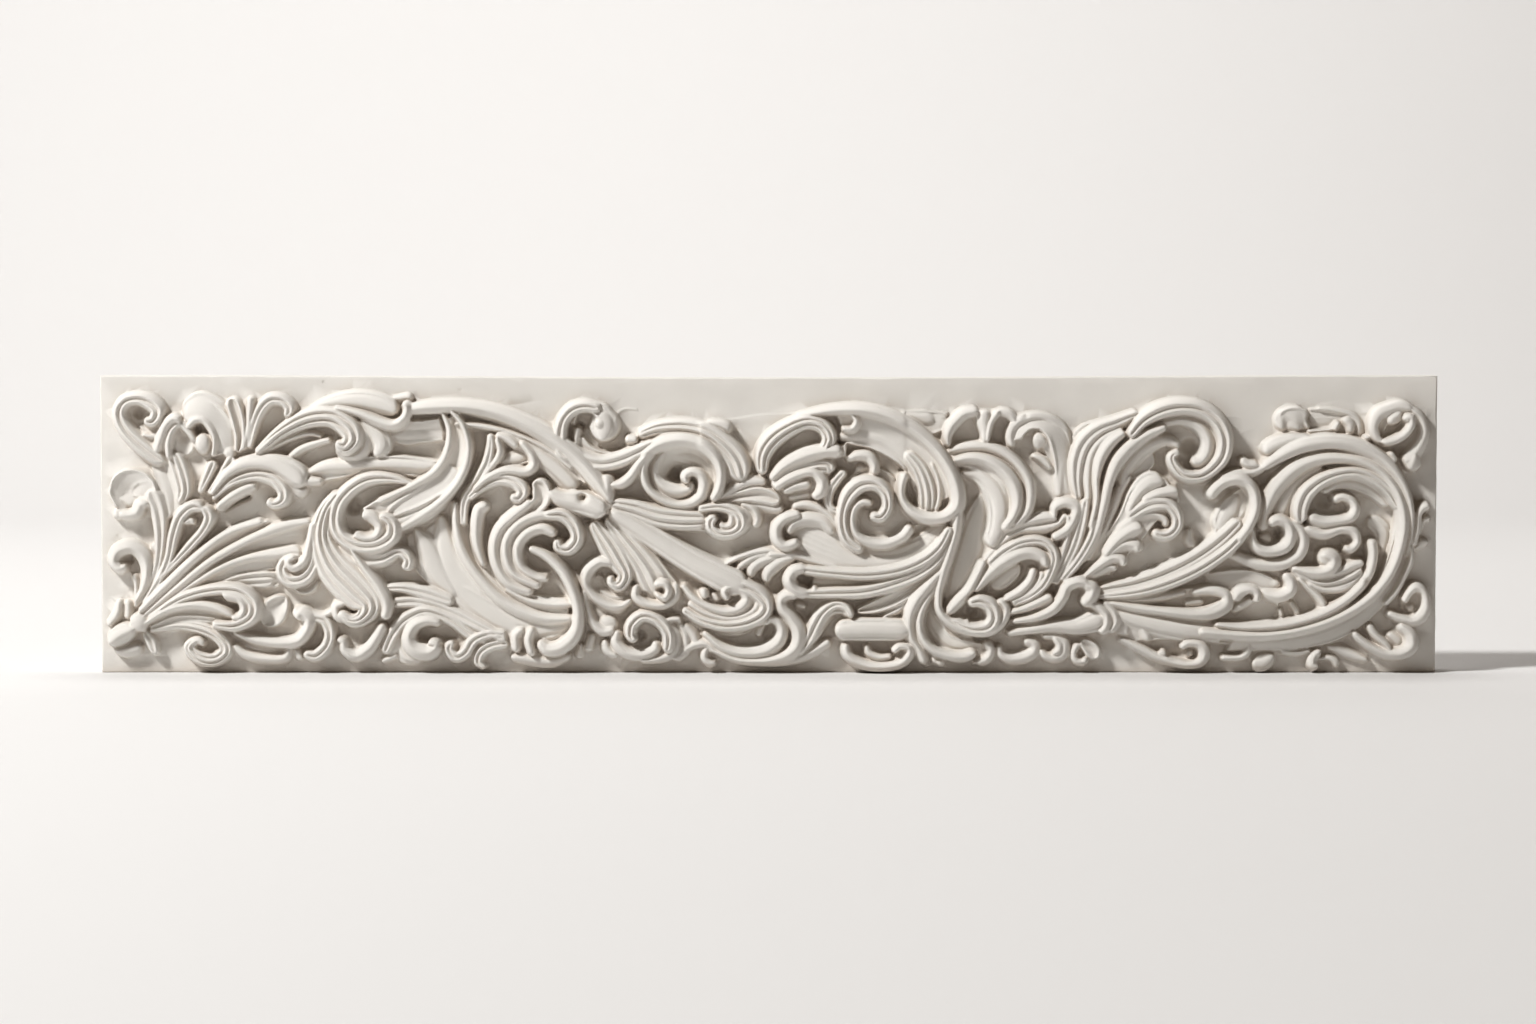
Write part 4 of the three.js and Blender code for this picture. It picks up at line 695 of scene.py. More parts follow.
# The small scrolls in the ring, and the leaves at the right end.
NEST = [
    ["nest_inner", "round", [13, 13, 12, 12, 10], 5, [[1269, 523, 5], [1277, 519, 5],
        [1287, 523, 5], [1291, 534, 6], [1286, 546, 6], [1273, 551, 5], [1260, 549, 5],
        [1253, 541, 4], [1252, 528, 3]]],
    ["nest_outer", "round", [12, 12, 10, 8, 6], 4, [[1291, 520, 5], [1301, 531, 6], [1303, 545, 6],
        [1296, 557, 6], [1280, 564, 6], [1258, 563, 6], [1238, 556, 5], [1225, 553, 3]]],
    ["nest_floor", "soft", [4], 3, [[1260, 536, 5], [1272, 540, 7]]],
    ["pearl", "round", [12, 12, 11, 10, 8], 7, [[1321, 553, 6], [1332, 557, 8], [1332, 566, 8],
        [1322, 572, 6], [1307, 571, 5], [1292, 567, 3]]],
    ["pearl_body", "ball", [11], 5, [[1328, 557, 10, 9]]],
    ["pearl_tail", "round", [9], 4, [[1291, 568, 3], [1305, 576, 5], [1322, 577, 5]]],
    ["hand_middle", "f3", [8, 10], 5, [[1306, 579, 5], [1326, 583, 8], [1348, 577, 10],
        [1362, 568, 6]]],
    ["hand_upper", "round", [11], 4, [[1327, 575, 3], [1342, 570, 5], [1355, 564, 5],
        [1364, 562, 4]]],
    ["hand_lower", "round", [9], 4, [[1308, 583, 3], [1325, 589, 4], [1345, 588, 4],
        [1357, 581, 3]]],
    ["hand_hook", "round", [9], 3, [[1364, 573, 3], [1367, 580, 3], [1361, 587, 2]]],
    ["thin_rib", "round", [9, 8], 4, [[1298, 577, 3], [1308, 586, 3], [1320, 597, 4],
        [1325, 607, 4], [1322, 618, 3]]],
    ["bud_cup", "round", [9, 10, 9, 6], 5, [[1284, 573, 4], [1291, 580, 6], [1291, 590, 6],
        [1280, 596, 6], [1268, 594, 5], [1262, 590, 3]]],
    ["bud_cup_floor", "soft", [4], 3, [[1272, 582, 8], [1280, 586, 6]]],
    ["small_wave", "round", [10, 11], 4, [[1234, 600, 5], [1240, 592, 6], [1250, 589, 4],
        [1257, 593, 4], [1257, 602, 3]]],
    ["small_wave_leaf", "soft", [7], 3, [[1232, 611, 4], [1243, 604, 5], [1254, 599, 3]]],
    ["pan_edge_one", "round", [3], 2, [[1281, 608, 2], [1283, 617, 2.5], [1279, 626, 2]]],
    ["pan_edge_two", "round", [5], 2, [[1291, 601, 2], [1298, 612, 3], [1299, 625, 2]]],
    ["crown_leaf", "round", [4, 5], 3, [[1282, 429, 5], [1282, 417, 7], [1291, 411, 6],
        [1302, 410, 4]]],
    ["crown_leaf_body", "soft", [4], 3, [[1289, 416, 8], [1294, 424, 8], [1300, 430, 4]]],
    ["crown_edge", "round", [4], 2, [[1306, 411, 3], [1304, 420, 3], [1309, 428, 2]]],
    ["crown_ledge", "round", [5], 2, [[1308, 431, 2], [1322, 431, 2], [1334, 429, 2]]],
    ["crown_ripple", "round", [2], 3, [[1318, 408, 2], [1336, 410, 3], [1352, 415, 4],
        [1359, 425, 5], [1359, 437, 4]]],
    ["crown_chip_one", "round", [5], 3, [[1334, 431, 4], [1339, 421, 3]]],
    ["crown_chip_two", "round", [5], 3, [[1344, 418, 4], [1350, 424, 5], [1350, 434, 4]]],
    ["crown_chip_three", "round", [8], 3, [[1364, 440, 4], [1369, 436, 4]]],
    ["end_hook_ring", "round", [9, 10, 10, 10], 3, [[1382, 442, 3], [1375, 436, 5], [1373, 425, 5],
        [1378, 414, 6], [1388, 409, 6], [1400, 406, 6], [1411, 409, 4]]],
    ["end_hook_bulb", "round", [9], 4, [[1401, 411, 6], [1393, 417, 7], [1388, 423, 5]]],
    ["end_hook_inner", "round", [13, 13, 12, 11], 4, [[1402, 418, 4], [1409, 417, 4],
        [1410, 424, 4], [1406, 431, 4], [1399, 437, 4], [1389, 441, 4], [1381, 442, 3]]],
    ["end_hook_back", "round", [9, 8, 8, 8], 4, [[1410, 409, 4], [1420, 418, 5], [1424, 431, 5],
        [1420, 444, 6], [1412, 455, 7], [1404, 463, 7]]],
    ["end_hook_bud", "round", [8], 5, [[1415, 452, 5], [1412, 462, 9], [1409, 470, 6]]],
    ["ring_point", "round", [11], 3, [[1389, 451, 3], [1394, 462, 5]]],
    ["edge_hook", "round", [8, 9], 4, [[1413, 545, 3], [1417, 530, 4], [1418, 515, 4],
        [1423, 507, 4], [1430, 505, 4]]],
    ["edge_hook_inner", "round", [4], 3, [[1420, 530, 3], [1424, 520, 3], [1431, 517, 3]]],
    ["edge_strand", "round", [10], 3, [[1411, 545, 2], [1411, 560, 3], [1404, 577, 3],
        [1396, 592, 3], [1385, 604, 3]]],
    ["edge_leaf", "soft", [4], 3, [[1414, 549, 3], [1421, 543, 5], [1429, 541, 3]]],
    ["end_petal_one", "round", [10, 10, 9, 9, 9, 8], 4, [[1404, 602, 4], [1409, 593, 4],
        [1416, 587, 5], [1424, 591, 4], [1427, 603, 5], [1424, 614, 6], [1414, 621, 5],
        [1401, 618, 4], [1388, 612, 3]]],
    ["end_petal_one_floor", "soft", [3], 3, [[1414, 604, 7], [1412, 612, 7]]],
    ["end_petal_two", "round", [8, 9, 9, 8, 8, 8], 5, [[1400, 624, 5], [1411, 633, 6],
        [1413, 645, 7], [1404, 653, 6], [1389, 654, 5], [1374, 648, 4], [1362, 640, 4],
        [1354, 632, 3]]],
    ["end_petal_two_floor", "soft", [3], 4, [[1389, 634, 5], [1400, 641, 9], [1399, 648, 7]]],
    ["end_petal_fold", "round", [8], 3, [[1369, 624, 4], [1376, 635, 4], [1386, 644, 4],
        [1392, 652, 3]]],
    ["end_low_leaf", "soft", [3], 3, [[1328, 646, 3], [1346, 652, 6], [1370, 661, 3]]],
    ["foot_scroll", "round", [6], 4, [[1322, 650, 4], [1315, 657, 5], [1314, 665, 5],
        [1320, 668, 3]]],
    ["foot_scroll_ear", "round", [4], 3, [[1319, 660, 2], [1329, 658, 3], [1337, 662, 4],
        [1338, 668, 3]]],
    ["fin", "round", [7], 3, [[1222, 658, 3], [1240, 658, 3], [1248, 653, 4], [1249, 644, 4],
        [1240, 640, 3]]],
    ["foot_lump", "soft", [5], 4, [[1253, 664, 7], [1264, 663, 9], [1275, 655, 6]]],
    ["foot_ledge", "round", [5], 3, [[1282, 651, 3], [1300, 653, 3], [1312, 650, 2]]],
]

MOTIFS = [CORNER, CREST, FOOT, SPRIG, SNAIL, PODS,
          WHEEL, TONGUE, BOWL, PLUME, SWEEP, NEST]

# Broad leaf surfaces, each ruled between two edges: [name, belly in mm, flutes,
# one edge, the other edge], with edges as stations [steps along, steps down, height in mm].
SHEETS = [
    ["lily_shell", 1.5, 0, [[181, 414, 4], [189, 396, 3], [202, 391, 3], [216, 396, 4],
        [230, 408, 5], [238, 428, 6], [237, 450, 6]],
        [[186, 421, 9], [191, 419, 10], [199, 417, 11], [208, 421, 11], [214, 434, 10],
         [217, 446, 9], [215, 456, 7]]],
    ["dish", 0, 0, [[114, 506, 5], [108, 492, 6], [112, 478, 7], [122, 470, 7], [134, 469, 7],
        [146, 473, 8]],
        [[124, 512, 3], [126, 500, 1], [130, 490, 1.5], [136, 484, 4], [144, 482, 6],
         [154, 482, 8]]],
    ["dish_side", 0, 0, [[146, 473, 8], [154, 482, 9], [158, 500, 9], [158, 520, 8]],
        [[128, 486, 1], [130, 494, 1.5], [138, 498, 4], [150, 508, 6]]],
    ["fan_sheet_one", -1, 0, [[160, 592, 8], [200, 556, 10], [230, 534, 10], [266, 520, 7]],
        [[168, 596, 8], [212, 562, 6], [245, 543, 4], [290, 530, 3]]],
    ["fan_sheet_two", -1.5, 0, [[172, 590, 9], [205, 563, 11], [245, 541, 10], [282, 526, 9],
        [312, 520, 6]],
        [[185, 592, 7], [220, 567, 5], [255, 554, 4], [312, 548, 4]]],
    ["fan_sheet_three", -1, 0, [[180, 592, 9], [212, 570, 10], [245, 557, 9], [304, 550, 7]],
        [[190, 598, 6], [222, 582, 5], [255, 572, 4], [300, 566, 4]]],
    ["fan_sheet_four", -0.5, 3, [[185, 596, 8], [220, 581, 8], [250, 573, 7], [288, 571, 6]],
        [[195, 603, 6], [225, 592, 4], [252, 590, 3], [276, 588, 3]]],
    ["crest_back", -1, 0, [[214, 494, 8], [232, 476, 10], [252, 466, 12], [275, 470, 12],
        [292, 484, 12], [296, 492, 9]],
        [[222, 494, 6], [240, 482, 7], [256, 476, 9], [270, 480, 10], [280, 490, 11],
         [284, 498, 10]]],
    ["slot_plate", -0.5, 2, [[392, 418, 9], [415, 420, 10], [440, 417, 11]],
        [[388, 440, 5], [405, 445, 4], [425, 442, 5], [444, 441, 6]]],
    ["long_leaf_sheet", 0.5, 0, [[300, 474, 6], [330, 463, 7], [360, 457, 8], [400, 455, 9],
        [438, 461, 9]],
        [[318, 482, 5], [340, 478, 5], [365, 472, 6], [395, 474, 6], [425, 478, 7]]],
    ["ribbon_face", -1, 0, [[446, 460, 12], [432, 476, 13], [410, 486, 13], [385, 495, 13],
        [362, 508, 12]],
        [[464, 474, 15], [447, 490, 15], [425, 503, 14], [405, 512, 14], [384, 520, 12]]],
    ["ribbon_under", 1, 2, [[464, 480, 15], [448, 492, 14], [425, 504, 14], [400, 516, 13],
        [386, 520, 12]],
        [[457, 492, 8], [444, 508, 7], [425, 522, 6], [400, 532, 6], [397, 526, 9]]],
    ["ribbon_channel", -4, 0, [[450, 408, 10], [452, 425, 12], [452, 445, 13], [446, 462, 13]],
        [[457, 408, 12], [464, 425, 15], [468, 445, 16], [464, 470, 16]]],
    ["bell_leaf", -1, 0, [[490, 470, 8], [510, 466, 9], [528, 462, 10], [539, 455, 10]],
        [[498, 454, 5], [510, 449, 5], [522, 446, 6], [532, 447, 7]]],
    ["great_petal_one", 0, 0, [[406, 536, 2], [408, 556, 3], [420, 577, 4], [440, 592, 5],
        [458, 600, 6]],
        [[421, 528, 3], [432, 545, 5], [446, 566, 6], [462, 588, 7], [475, 600, 8]]],
    ["great_petal_two", 0, 0, [[424, 530, 2], [436, 548, 4], [450, 568, 5], [468, 590, 7]],
        [[444, 515, 3], [450, 540, 6], [462, 565, 8], [482, 592, 9]]],
    ["great_foot", 1, 2, [[444, 592, 5], [470, 608, 6], [500, 620, 7], [530, 630, 8],
        [566, 634, 8]],
        [[470, 585, 9], [500, 600, 10], [530, 609, 11], [568, 613, 12]]],
    ["great_sweep", 0, 3, [[458, 520, 7], [460, 545, 8], [472, 572, 9], [498, 595, 10],
        [535, 608, 11], [568, 613, 12]],
        [[484, 510, 4], [486, 540, 6], [495, 566, 8], [512, 584, 10], [540, 595, 11],
         [570, 598, 12]]],
    ["snail_cap", 1, 0, [[565, 420, 6], [571, 406, 7], [588, 400, 8], [606, 404, 8],
        [618, 420, 7]],
        [[574, 424, 9], [579, 413, 10], [590, 412, 13], [600, 418, 14], [608, 428, 13]]],
    ["snail_foot", 0.5, 2, [[583, 436, 9], [592, 446, 9], [606, 451, 9], [622, 449, 9],
        [648, 443, 10]],
        [[558, 440, 5], [575, 456, 6], [596, 466, 7], [618, 467, 8], [640, 458, 9]]],
    ["scroll_bowl", -1, 0, [[657, 470, 12], [660, 455, 12], [672, 447, 12], [690, 446, 12],
        [706, 455, 12], [716, 470, 11], [718, 488, 10], [710, 500, 9]],
        [[664, 478, 4], [668, 472, 2], [676, 466, 1], [690, 464, 1], [698, 470, 2], [702, 480, 4],
         [702, 490, 5], [698, 498, 6]]],
    ["scroll_back", -1, 0, [[662, 420, 6], [685, 417, 6], [705, 421, 7], [722, 433, 7],
        [736, 452, 7], [743, 477, 7]],
        [[668, 436, 11], [688, 433, 12], [704, 440, 12], [716, 452, 11], [724, 466, 10],
         [728, 484, 8]]],
    ["spray_one", -1.5, 0, [[719, 499, 9], [730, 486, 9], [745, 478, 9], [766, 477, 8]],
        [[722, 500, 8], [740, 491, 5], [758, 486, 5], [772, 486, 5]]],
    ["spray_two", -1.5, 0, [[722, 501, 9], [745, 491, 9], [765, 487, 9], [780, 488, 8]],
        [[730, 504, 7], [750, 499, 5], [768, 500, 5], [782, 503, 5]]],
    ["cross_band", 1, 3, [[612, 499, 9], [640, 505, 9], [675, 508, 10], [712, 508, 10]],
        [[622, 508, 9], [650, 523, 9], [678, 530, 9], [712, 531, 9]]],
    ["knuckle_block", 3, 0, [[548, 491, 10], [560, 493, 12], [575, 489, 14], [590, 493, 15],
        [609, 500, 14]],
        [[546, 500, 8], [558, 510, 8], [575, 515, 10], [592, 515, 12], [610, 514, 12]]],
    ["sprig_leaf_one", 1, 3, [[585, 522, 8], [597, 545, 8], [606, 560, 9]],
        [[608, 530, 10], [626, 550, 11], [635, 572, 11]]],
    ["sprig_leaf_two", 1, 2, [[606, 528, 9], [620, 545, 9], [632, 562, 9], [641, 580, 9],
        [640, 595, 8], [648, 606, 7]],
        [[640, 534, 10], [655, 553, 11], [668, 570, 11], [679, 586, 10], [677, 601, 9],
         [660, 609, 8]]],
    ["sprig_shell", 0, 0, [[589, 578, 8], [592, 592, 7], [602, 603, 6], [614, 610, 6],
        [629, 604, 6]],
        [[598, 574, 4], [606, 580, 2], [614, 588, 3], [624, 590, 5], [631, 590, 6]]],
    ["sprig_fin", -1, 0, [[582, 592, 8], [586, 612, 8], [594, 628, 8], [605, 635, 8]],
        [[590, 600, 3], [598, 612, 3], [606, 622, 4], [613, 628, 5]]],
    ["low_volute_back", 1, 2, [[665, 605, 4], [690, 625, 5], [720, 636, 5], [746, 634, 5],
        [766, 616, 6], [769, 598, 8]],
        [[680, 592, 6], [700, 606, 9], [722, 613, 11], [738, 607, 12], [742, 592, 12],
         [732, 582, 12]]],
    ["foot_sweep", -1, 0, [[700, 634, 8], [720, 652, 7], [745, 659, 6], [792, 661, 5]],
        [[716, 640, 4], [740, 645, 3], [765, 647, 3], [792, 648, 3]]],
    ["log_arch", -1, 0, [[799, 655, 6], [808, 636, 8], [816, 618, 8], [828, 606, 7],
        [842, 603, 6]],
        [[806, 655, 5], [818, 640, 6], [828, 625, 6], [838, 614, 5], [848, 614, 5]]],
    ["finger_plate", 2, 0, [[770, 476, 9], [798, 456, 11], [824, 448, 12], [846, 443, 12]],
        [[777, 485, 8], [802, 473, 9], [826, 462, 9], [846, 455, 10]]],
    ["curl_plate", 1, 2, [[774, 486, 9], [795, 472, 10], [816, 467, 10], [831, 474, 10]],
        [[784, 494, 7], [800, 490, 8], [812, 492, 8], [822, 490, 8]]],
    ["arch_two_band", -0.5, 0, [[836, 414, 12], [862, 413, 13], [886, 419, 13], [906, 429, 13],
        [925, 443, 13], [940, 459, 13], [950, 477, 13], [953, 496, 11]],
        [[846, 443, 9], [872, 449, 9], [895, 461, 9], [905, 471, 8], [914, 490, 7],
         [917, 508, 7]]],
    ["great_plate", 1, 0, [[794, 512, 7], [815, 510, 9], [836, 522, 9], [853, 543, 8],
        [872, 552, 6], [900, 546, 5], [925, 530, 5], [945, 510, 6]],
        [[788, 538, 7], [800, 554, 9], [838, 568, 12], [880, 570, 13], [915, 561, 12],
         [940, 541, 11], [950, 518, 9]]],
    ["centre_leaf", -1, 2, [[150, 466, 4], [156, 484, 6], [160, 503, 8], [163, 522, 9]],
        [[172, 456, 6], [180, 472, 8], [186, 490, 8], [184, 506, 9]]],
    ["corner_fold", -1, 1, [[151, 420, 3], [160, 428, 6], [166, 440, 7], [169, 456, 7]],
        [[138, 426, 3], [146, 438, 6], [155, 450, 7], [164, 462, 7]]],
    ["lily_face", 0.5, 0, [[196, 402, 5], [212, 402, 7], [226, 412, 8], [233, 428, 8]],
        [[200, 418, 5], [211, 424, 7], [217, 436, 8], [218, 452, 7]]],
    ["crest_under", -0.5, 0, [[454, 403, 12], [490, 409, 13], [530, 423, 13], [565, 445, 13],
        [596, 474, 12]],
        [[462, 413, 8], [500, 424, 8], [530, 438, 8], [556, 458, 8], [584, 484, 9]]],
    ["petal_floor", 0.5, 0, [[1205, 574, 4], [1235, 569, 6], [1262, 572, 6], [1282, 583, 5]],
        [[1212, 588, 4], [1240, 590, 7], [1262, 596, 7], [1280, 606, 6]]],
    ["volute_five_floor", 0, 0, [[838, 500, 5], [848, 478, 6], [872, 466, 6], [895, 478, 6],
        [902, 505, 5]],
        [[842, 530, 7], [856, 538, 6], [878, 540, 5], [900, 535, 5], [925, 522, 5]]],
    ["blade_one_face", -1, 0, [[858, 612, 6], [880, 600, 9], [905, 590, 9], [930, 572, 7],
        [945, 552, 5]],
        [[861, 618, 4], [885, 617, 5], [910, 604, 5], [932, 582, 5], [947, 560, 4]]],
    ["crumb_face", 0.5, 0, [[886, 414, 2], [905, 410, 3], [930, 410, 3], [948, 412, 3]],
        [[896, 420, 4], [914, 427, 6], [930, 434, 6], [944, 430, 6]]],
    ["cowl_face", 1.5, 0, [[1008, 440, 5], [1013, 427, 5], [1030, 417, 5], [1050, 418, 5],
        [1066, 430, 5], [1073, 452, 4], [1077, 476, 4], [1081, 498, 4]],
        [[1021, 440, 8], [1028, 430, 10], [1040, 429, 11], [1048, 438, 12], [1052, 450, 10],
         [1055, 465, 8], [1057, 482, 6], [1059, 498, 5]]],
    ["wheel_face", 1.5, 4, [[948, 449, 7], [970, 443, 7], [1000, 445, 8], [1020, 458, 8],
        [1032, 480, 8], [1034, 500, 8], [1026, 518, 7], [1012, 530, 6]],
        [[952, 466, 8], [970, 468, 9], [984, 482, 10], [992, 500, 11], [992, 520, 10],
         [990, 535, 9], [988, 548, 8], [985, 560, 7]]],
    ["s_face", -0.5, 3, [[945, 568, 6], [920, 588, 7], [905, 610, 8], [906, 634, 8], [917, 654, 7],
        [925, 668, 3]],
        [[946, 582, 5], [935, 600, 4], [931, 620, 2], [936, 640, 2], [942, 652, 3],
         [946, 662, 3]]],
    ["s_dish", 0, 0, [[940, 614, 5], [950, 634, 6], [975, 642, 7], [993, 644, 7]],
        [[928, 640, 2], [942, 655, 4], [965, 661, 5], [985, 660, 5]]],
    ["pod_shell_face", 0.5, 3, [[985, 566, 6], [1005, 545, 9], [1030, 536, 9], [1052, 541, 8],
        [1059, 560, 7], [1051, 585, 6], [1022, 604, 5]],
        [[988, 592, 5], [1000, 570, 8], [1018, 558, 10], [1036, 557, 11], [1038, 570, 9],
         [1030, 586, 7], [1008, 602, 5]]],
    ["top_blade_face", 1, 0, [[1002, 532, 6], [1020, 518, 8], [1040, 510, 9], [1056, 514, 9]],
        [[1004, 545, 5], [1025, 534, 6], [1045, 531, 6], [1060, 525, 6]]],
    ["plume_face", 0, 4, [[1069, 485, 2], [1068, 455, 3], [1076, 430, 4], [1095, 420, 5],
        [1128, 413, 5]],
        [[1094, 502, 9], [1091, 470, 10], [1097, 448, 10], [1112, 434, 10], [1134, 422, 9]]],
    ["plume_pocket", -1.5, 0, [[1120, 482, 6], [1124, 460, 9], [1138, 443, 10], [1155, 435, 10],
        [1170, 442, 9]],
        [[1133, 478, 8], [1148, 471, 7], [1155, 463, 6], [1154, 452, 5], [1160, 446, 6]]],
    ["spiral_face", -1, 0, [[1130, 440, 9], [1150, 418, 11], [1178, 405, 12], [1205, 412, 12],
        [1222, 432, 12], [1220, 458, 11], [1204, 474, 9]],
        [[1152, 425, 9], [1170, 418, 9], [1185, 420, 8], [1198, 430, 7], [1203, 445, 7],
         [1198, 458, 7], [1190, 462, 8]]],
    ["bulb_face", 2, 0, [[1085, 575, 5], [1100, 545, 8], [1118, 515, 10], [1130, 490, 11],
        [1148, 477, 10], [1165, 478, 9], [1172, 490, 8]],
        [[1110, 575, 5], [1125, 558, 7], [1142, 540, 8], [1160, 517, 10], [1173, 508, 9],
         [1179, 500, 8], [1178, 494, 7]]],
    ["sweep_face", 1, 3, [[1094, 590, 4], [1106, 586, 8], [1140, 582, 9], [1170, 572, 10],
        [1200, 553, 10], [1225, 535, 9], [1243, 510, 8]],
        [[1096, 600, 3], [1108, 602, 6], [1140, 598, 6], [1172, 589, 6], [1205, 575, 6],
         [1232, 553, 6], [1252, 525, 7]]],
    ["eye_floor", -1, 0, [[1212, 540, 8], [1220, 515, 8], [1230, 496, 6], [1241, 487, 6]],
        [[1242, 545, 9], [1251, 520, 9], [1254, 500, 9], [1248, 488, 7]]],
    ["spoon_face", -1, 0, [[1130, 604, 5], [1165, 602, 4], [1190, 598, 3], [1210, 594, 3],
        [1222, 596, 5]],
        [[1135, 614, 6], [1165, 619, 8], [1195, 622, 9], [1218, 617, 10], [1229, 604, 10]]],
    ["spoon_brow", 0.5, 0, [[1112, 601, 7], [1150, 596, 7], [1185, 588, 8], [1220, 587, 8]],
        [[1112, 607, 5], [1150, 605, 4], [1185, 598, 3], [1205, 597, 4]]],
    ["lower_face", 1, 0, [[1108, 606, 8], [1140, 613, 9], [1180, 622, 9], [1225, 628, 9],
        [1270, 632, 9]],
        [[1114, 628, 6], [1135, 641, 5], [1165, 640, 6], [1200, 642, 6], [1230, 645, 6],
         [1270, 650, 7]]],
    ["ring_band", 2, 0, [[1413, 500, 6], [1413, 530, 7], [1407, 566, 7], [1393, 595, 7],
        [1367, 623, 7], [1334, 642, 7], [1290, 650, 7], [1228, 651, 6]],
        [[1397, 500, 8], [1395, 525, 9], [1388, 555, 10], [1374, 585, 11], [1346, 608, 11],
         [1311, 623, 11], [1272, 631, 11], [1238, 631, 10]]],
    ["hand_face", 1, 4, [[1300, 578, 6], [1325, 576, 8], [1345, 566, 9], [1363, 560, 8]],
        [[1308, 586, 6], [1330, 592, 7], [1350, 588, 7], [1365, 574, 7]]],
    ["end_petal_one_face", 0, 0, [[1405, 600, 3], [1410, 590, 4], [1420, 587, 6], [1429, 600, 7],
        [1427, 615, 8], [1415, 624, 8], [1392, 618, 7]],
        [[1402, 606, 2], [1408, 604, 2], [1413, 602, 2], [1417, 605, 3], [1416, 611, 4],
         [1408, 615, 4], [1392, 612, 5]]],
    ["end_petal_two_face", 0, 0, [[1400, 622, 3], [1413, 630, 5], [1418, 645, 7], [1410, 657, 8],
        [1390, 658, 8], [1365, 645, 6], [1352, 635, 3]],
        [[1395, 630, 2], [1403, 636, 4], [1404, 646, 6], [1397, 652, 5], [1385, 648, 3],
         [1372, 636, 2], [1362, 630, 2]]],
    ["end_hook_face", 0.5, 0, [[1374, 432, 4], [1379, 412, 7], [1395, 404, 9], [1412, 405, 8],
        [1424, 418, 7], [1426, 435, 6], [1419, 452, 6]],
        [[1384, 434, 2], [1388, 424, 7], [1397, 419, 9], [1408, 413, 8], [1413, 425, 4],
         [1411, 440, 3], [1408, 452, 3]]],
    ["crown_face", 1, 0, [[1278, 427, 4], [1281, 411, 7], [1295, 406, 8], [1307, 410, 7]],
        [[1284, 432, 3], [1291, 424, 5], [1297, 428, 6], [1305, 429, 3]]],
    ["crown_shelf", 0.5, 0, [[1310, 408, 2], [1335, 410, 2], [1356, 415, 3], [1364, 432, 3]],
        [[1310, 429, 0.5], [1328, 429, 1], [1342, 430, 2], [1356, 439, 3]]],
]

# Pinholes in the plain ground: [steps along, steps down, radius in steps, depth in mm].
PITS = [[110, 486, 1.6, 0.7], [459, 389, 1.4, 0.6], [323, 381, 1.3, 0.5], [174, 404, 1.2, 0.5],
        [130, 391, 1.2, 0.5], [115, 537, 1.6, 0.6], [412, 398, 1.3, 0.5]]
# Eyes and breaks in the carving, written as the pinholes are.
EYES = [[583, 497, 4, 9], [661, 590, 4, 4], [1176, 656, 4.5, 4], [1026, 415, 2.5, 2],
        [735, 430, 3.5, 1.5], [1367, 580, 3.5, 3], [1231, 489, 4, 2.5], [183, 437, 5, 2]]
# Hollows cut below the ground in the scrolls' eyes, written the same way.
HOLLOWS = [[352, 506, 8, 7], [137, 413, 5, 5], [127, 560, 4, 4], [197, 430, 4, 5],
           [233, 605, 4, 4], [353, 609, 4, 5], [579, 427, 5, 5], [676, 474, 8, 7],
           [716, 515, 4, 4], [640, 637, 5, 5], [866, 506, 4, 4], [972, 612, 5, 5],
           [1190, 447, 8, 7], [1160, 522, 4, 4], [1326, 500, 8, 6], [1281, 534, 5, 5],
           [1400, 425, 4, 4], [472, 512, 5, 5], [512, 545, 6, 6], [590, 470, 6, 6],
           [735, 455, 4, 4], [905, 470, 5, 5]]
# Lines, each [height, half width in mm, places]: a slot between two leaves, a scratch in the
# ground and the rim of a lost flake.
LINES = [[-7, 1.9, [[223, 508], [234, 502], [246, 497]]],
         [-0.4, 0.5, [[500, 405], [518, 403], [534, 400]]],
         [0.8, 0.9, [[616, 418], [619, 411], [627, 408], [636, 409]]]]
# The mould was mended along this line. The ground steps up just below it, this high and within
# this width, and falls back over the given way down.
SEAM_HIGH = 1.2
SEAM_EDGE = 0.35
SEAM_FADE = 14
SEAM = [[700, 421], [732, 418], [760, 414], [790, 412], [810, 409], [850, 406], [905, 408]]


def along(steps):
    """Millimetres along the slab from its middle, for a place in steps."""
    return ((np.asarray(steps, float) - GRID_LEFT) / STEPS_ALONG - 0.5) * LENGTH * DRAWN_IN


def up(steps):
    """Millimetres above the slab's foot, for a place in steps down the grid."""
    middle = 0.5 - (np.asarray(steps, float) - GRID_TOP) / STEPS_DOWN
    return HEIGHT / 2 + middle * HEIGHT * DRAWN_IN


def curve_through(rows, count):
    """Points on the Catmull-Rom curve through the rows: each stretch is the cubic whose slope at a
    row is half the way from the row before to the row after."""
    rows = np.asarray(rows, float)
    if len(rows) == 1:
        return np.repeat(rows, count, axis=0)
    ends = np.vstack([2 * rows[0] - rows[1], rows, 2 * rows[-1] - rows[-2]])
    place = np.linspace(0, len(rows) - 1, count)
    stretch = np.minimum(place.astype(int), len(rows) - 2)
    t = (place - stretch)[:, None]
    a, b, c, d = (ends[stretch + k] for k in range(4))
    return 0.5 * (2 * b + (c - a) * t + (2 * a - 5 * b + 4 * c - d) * t**2
                  + (3 * b - a - 3 * c + d) * t**3)


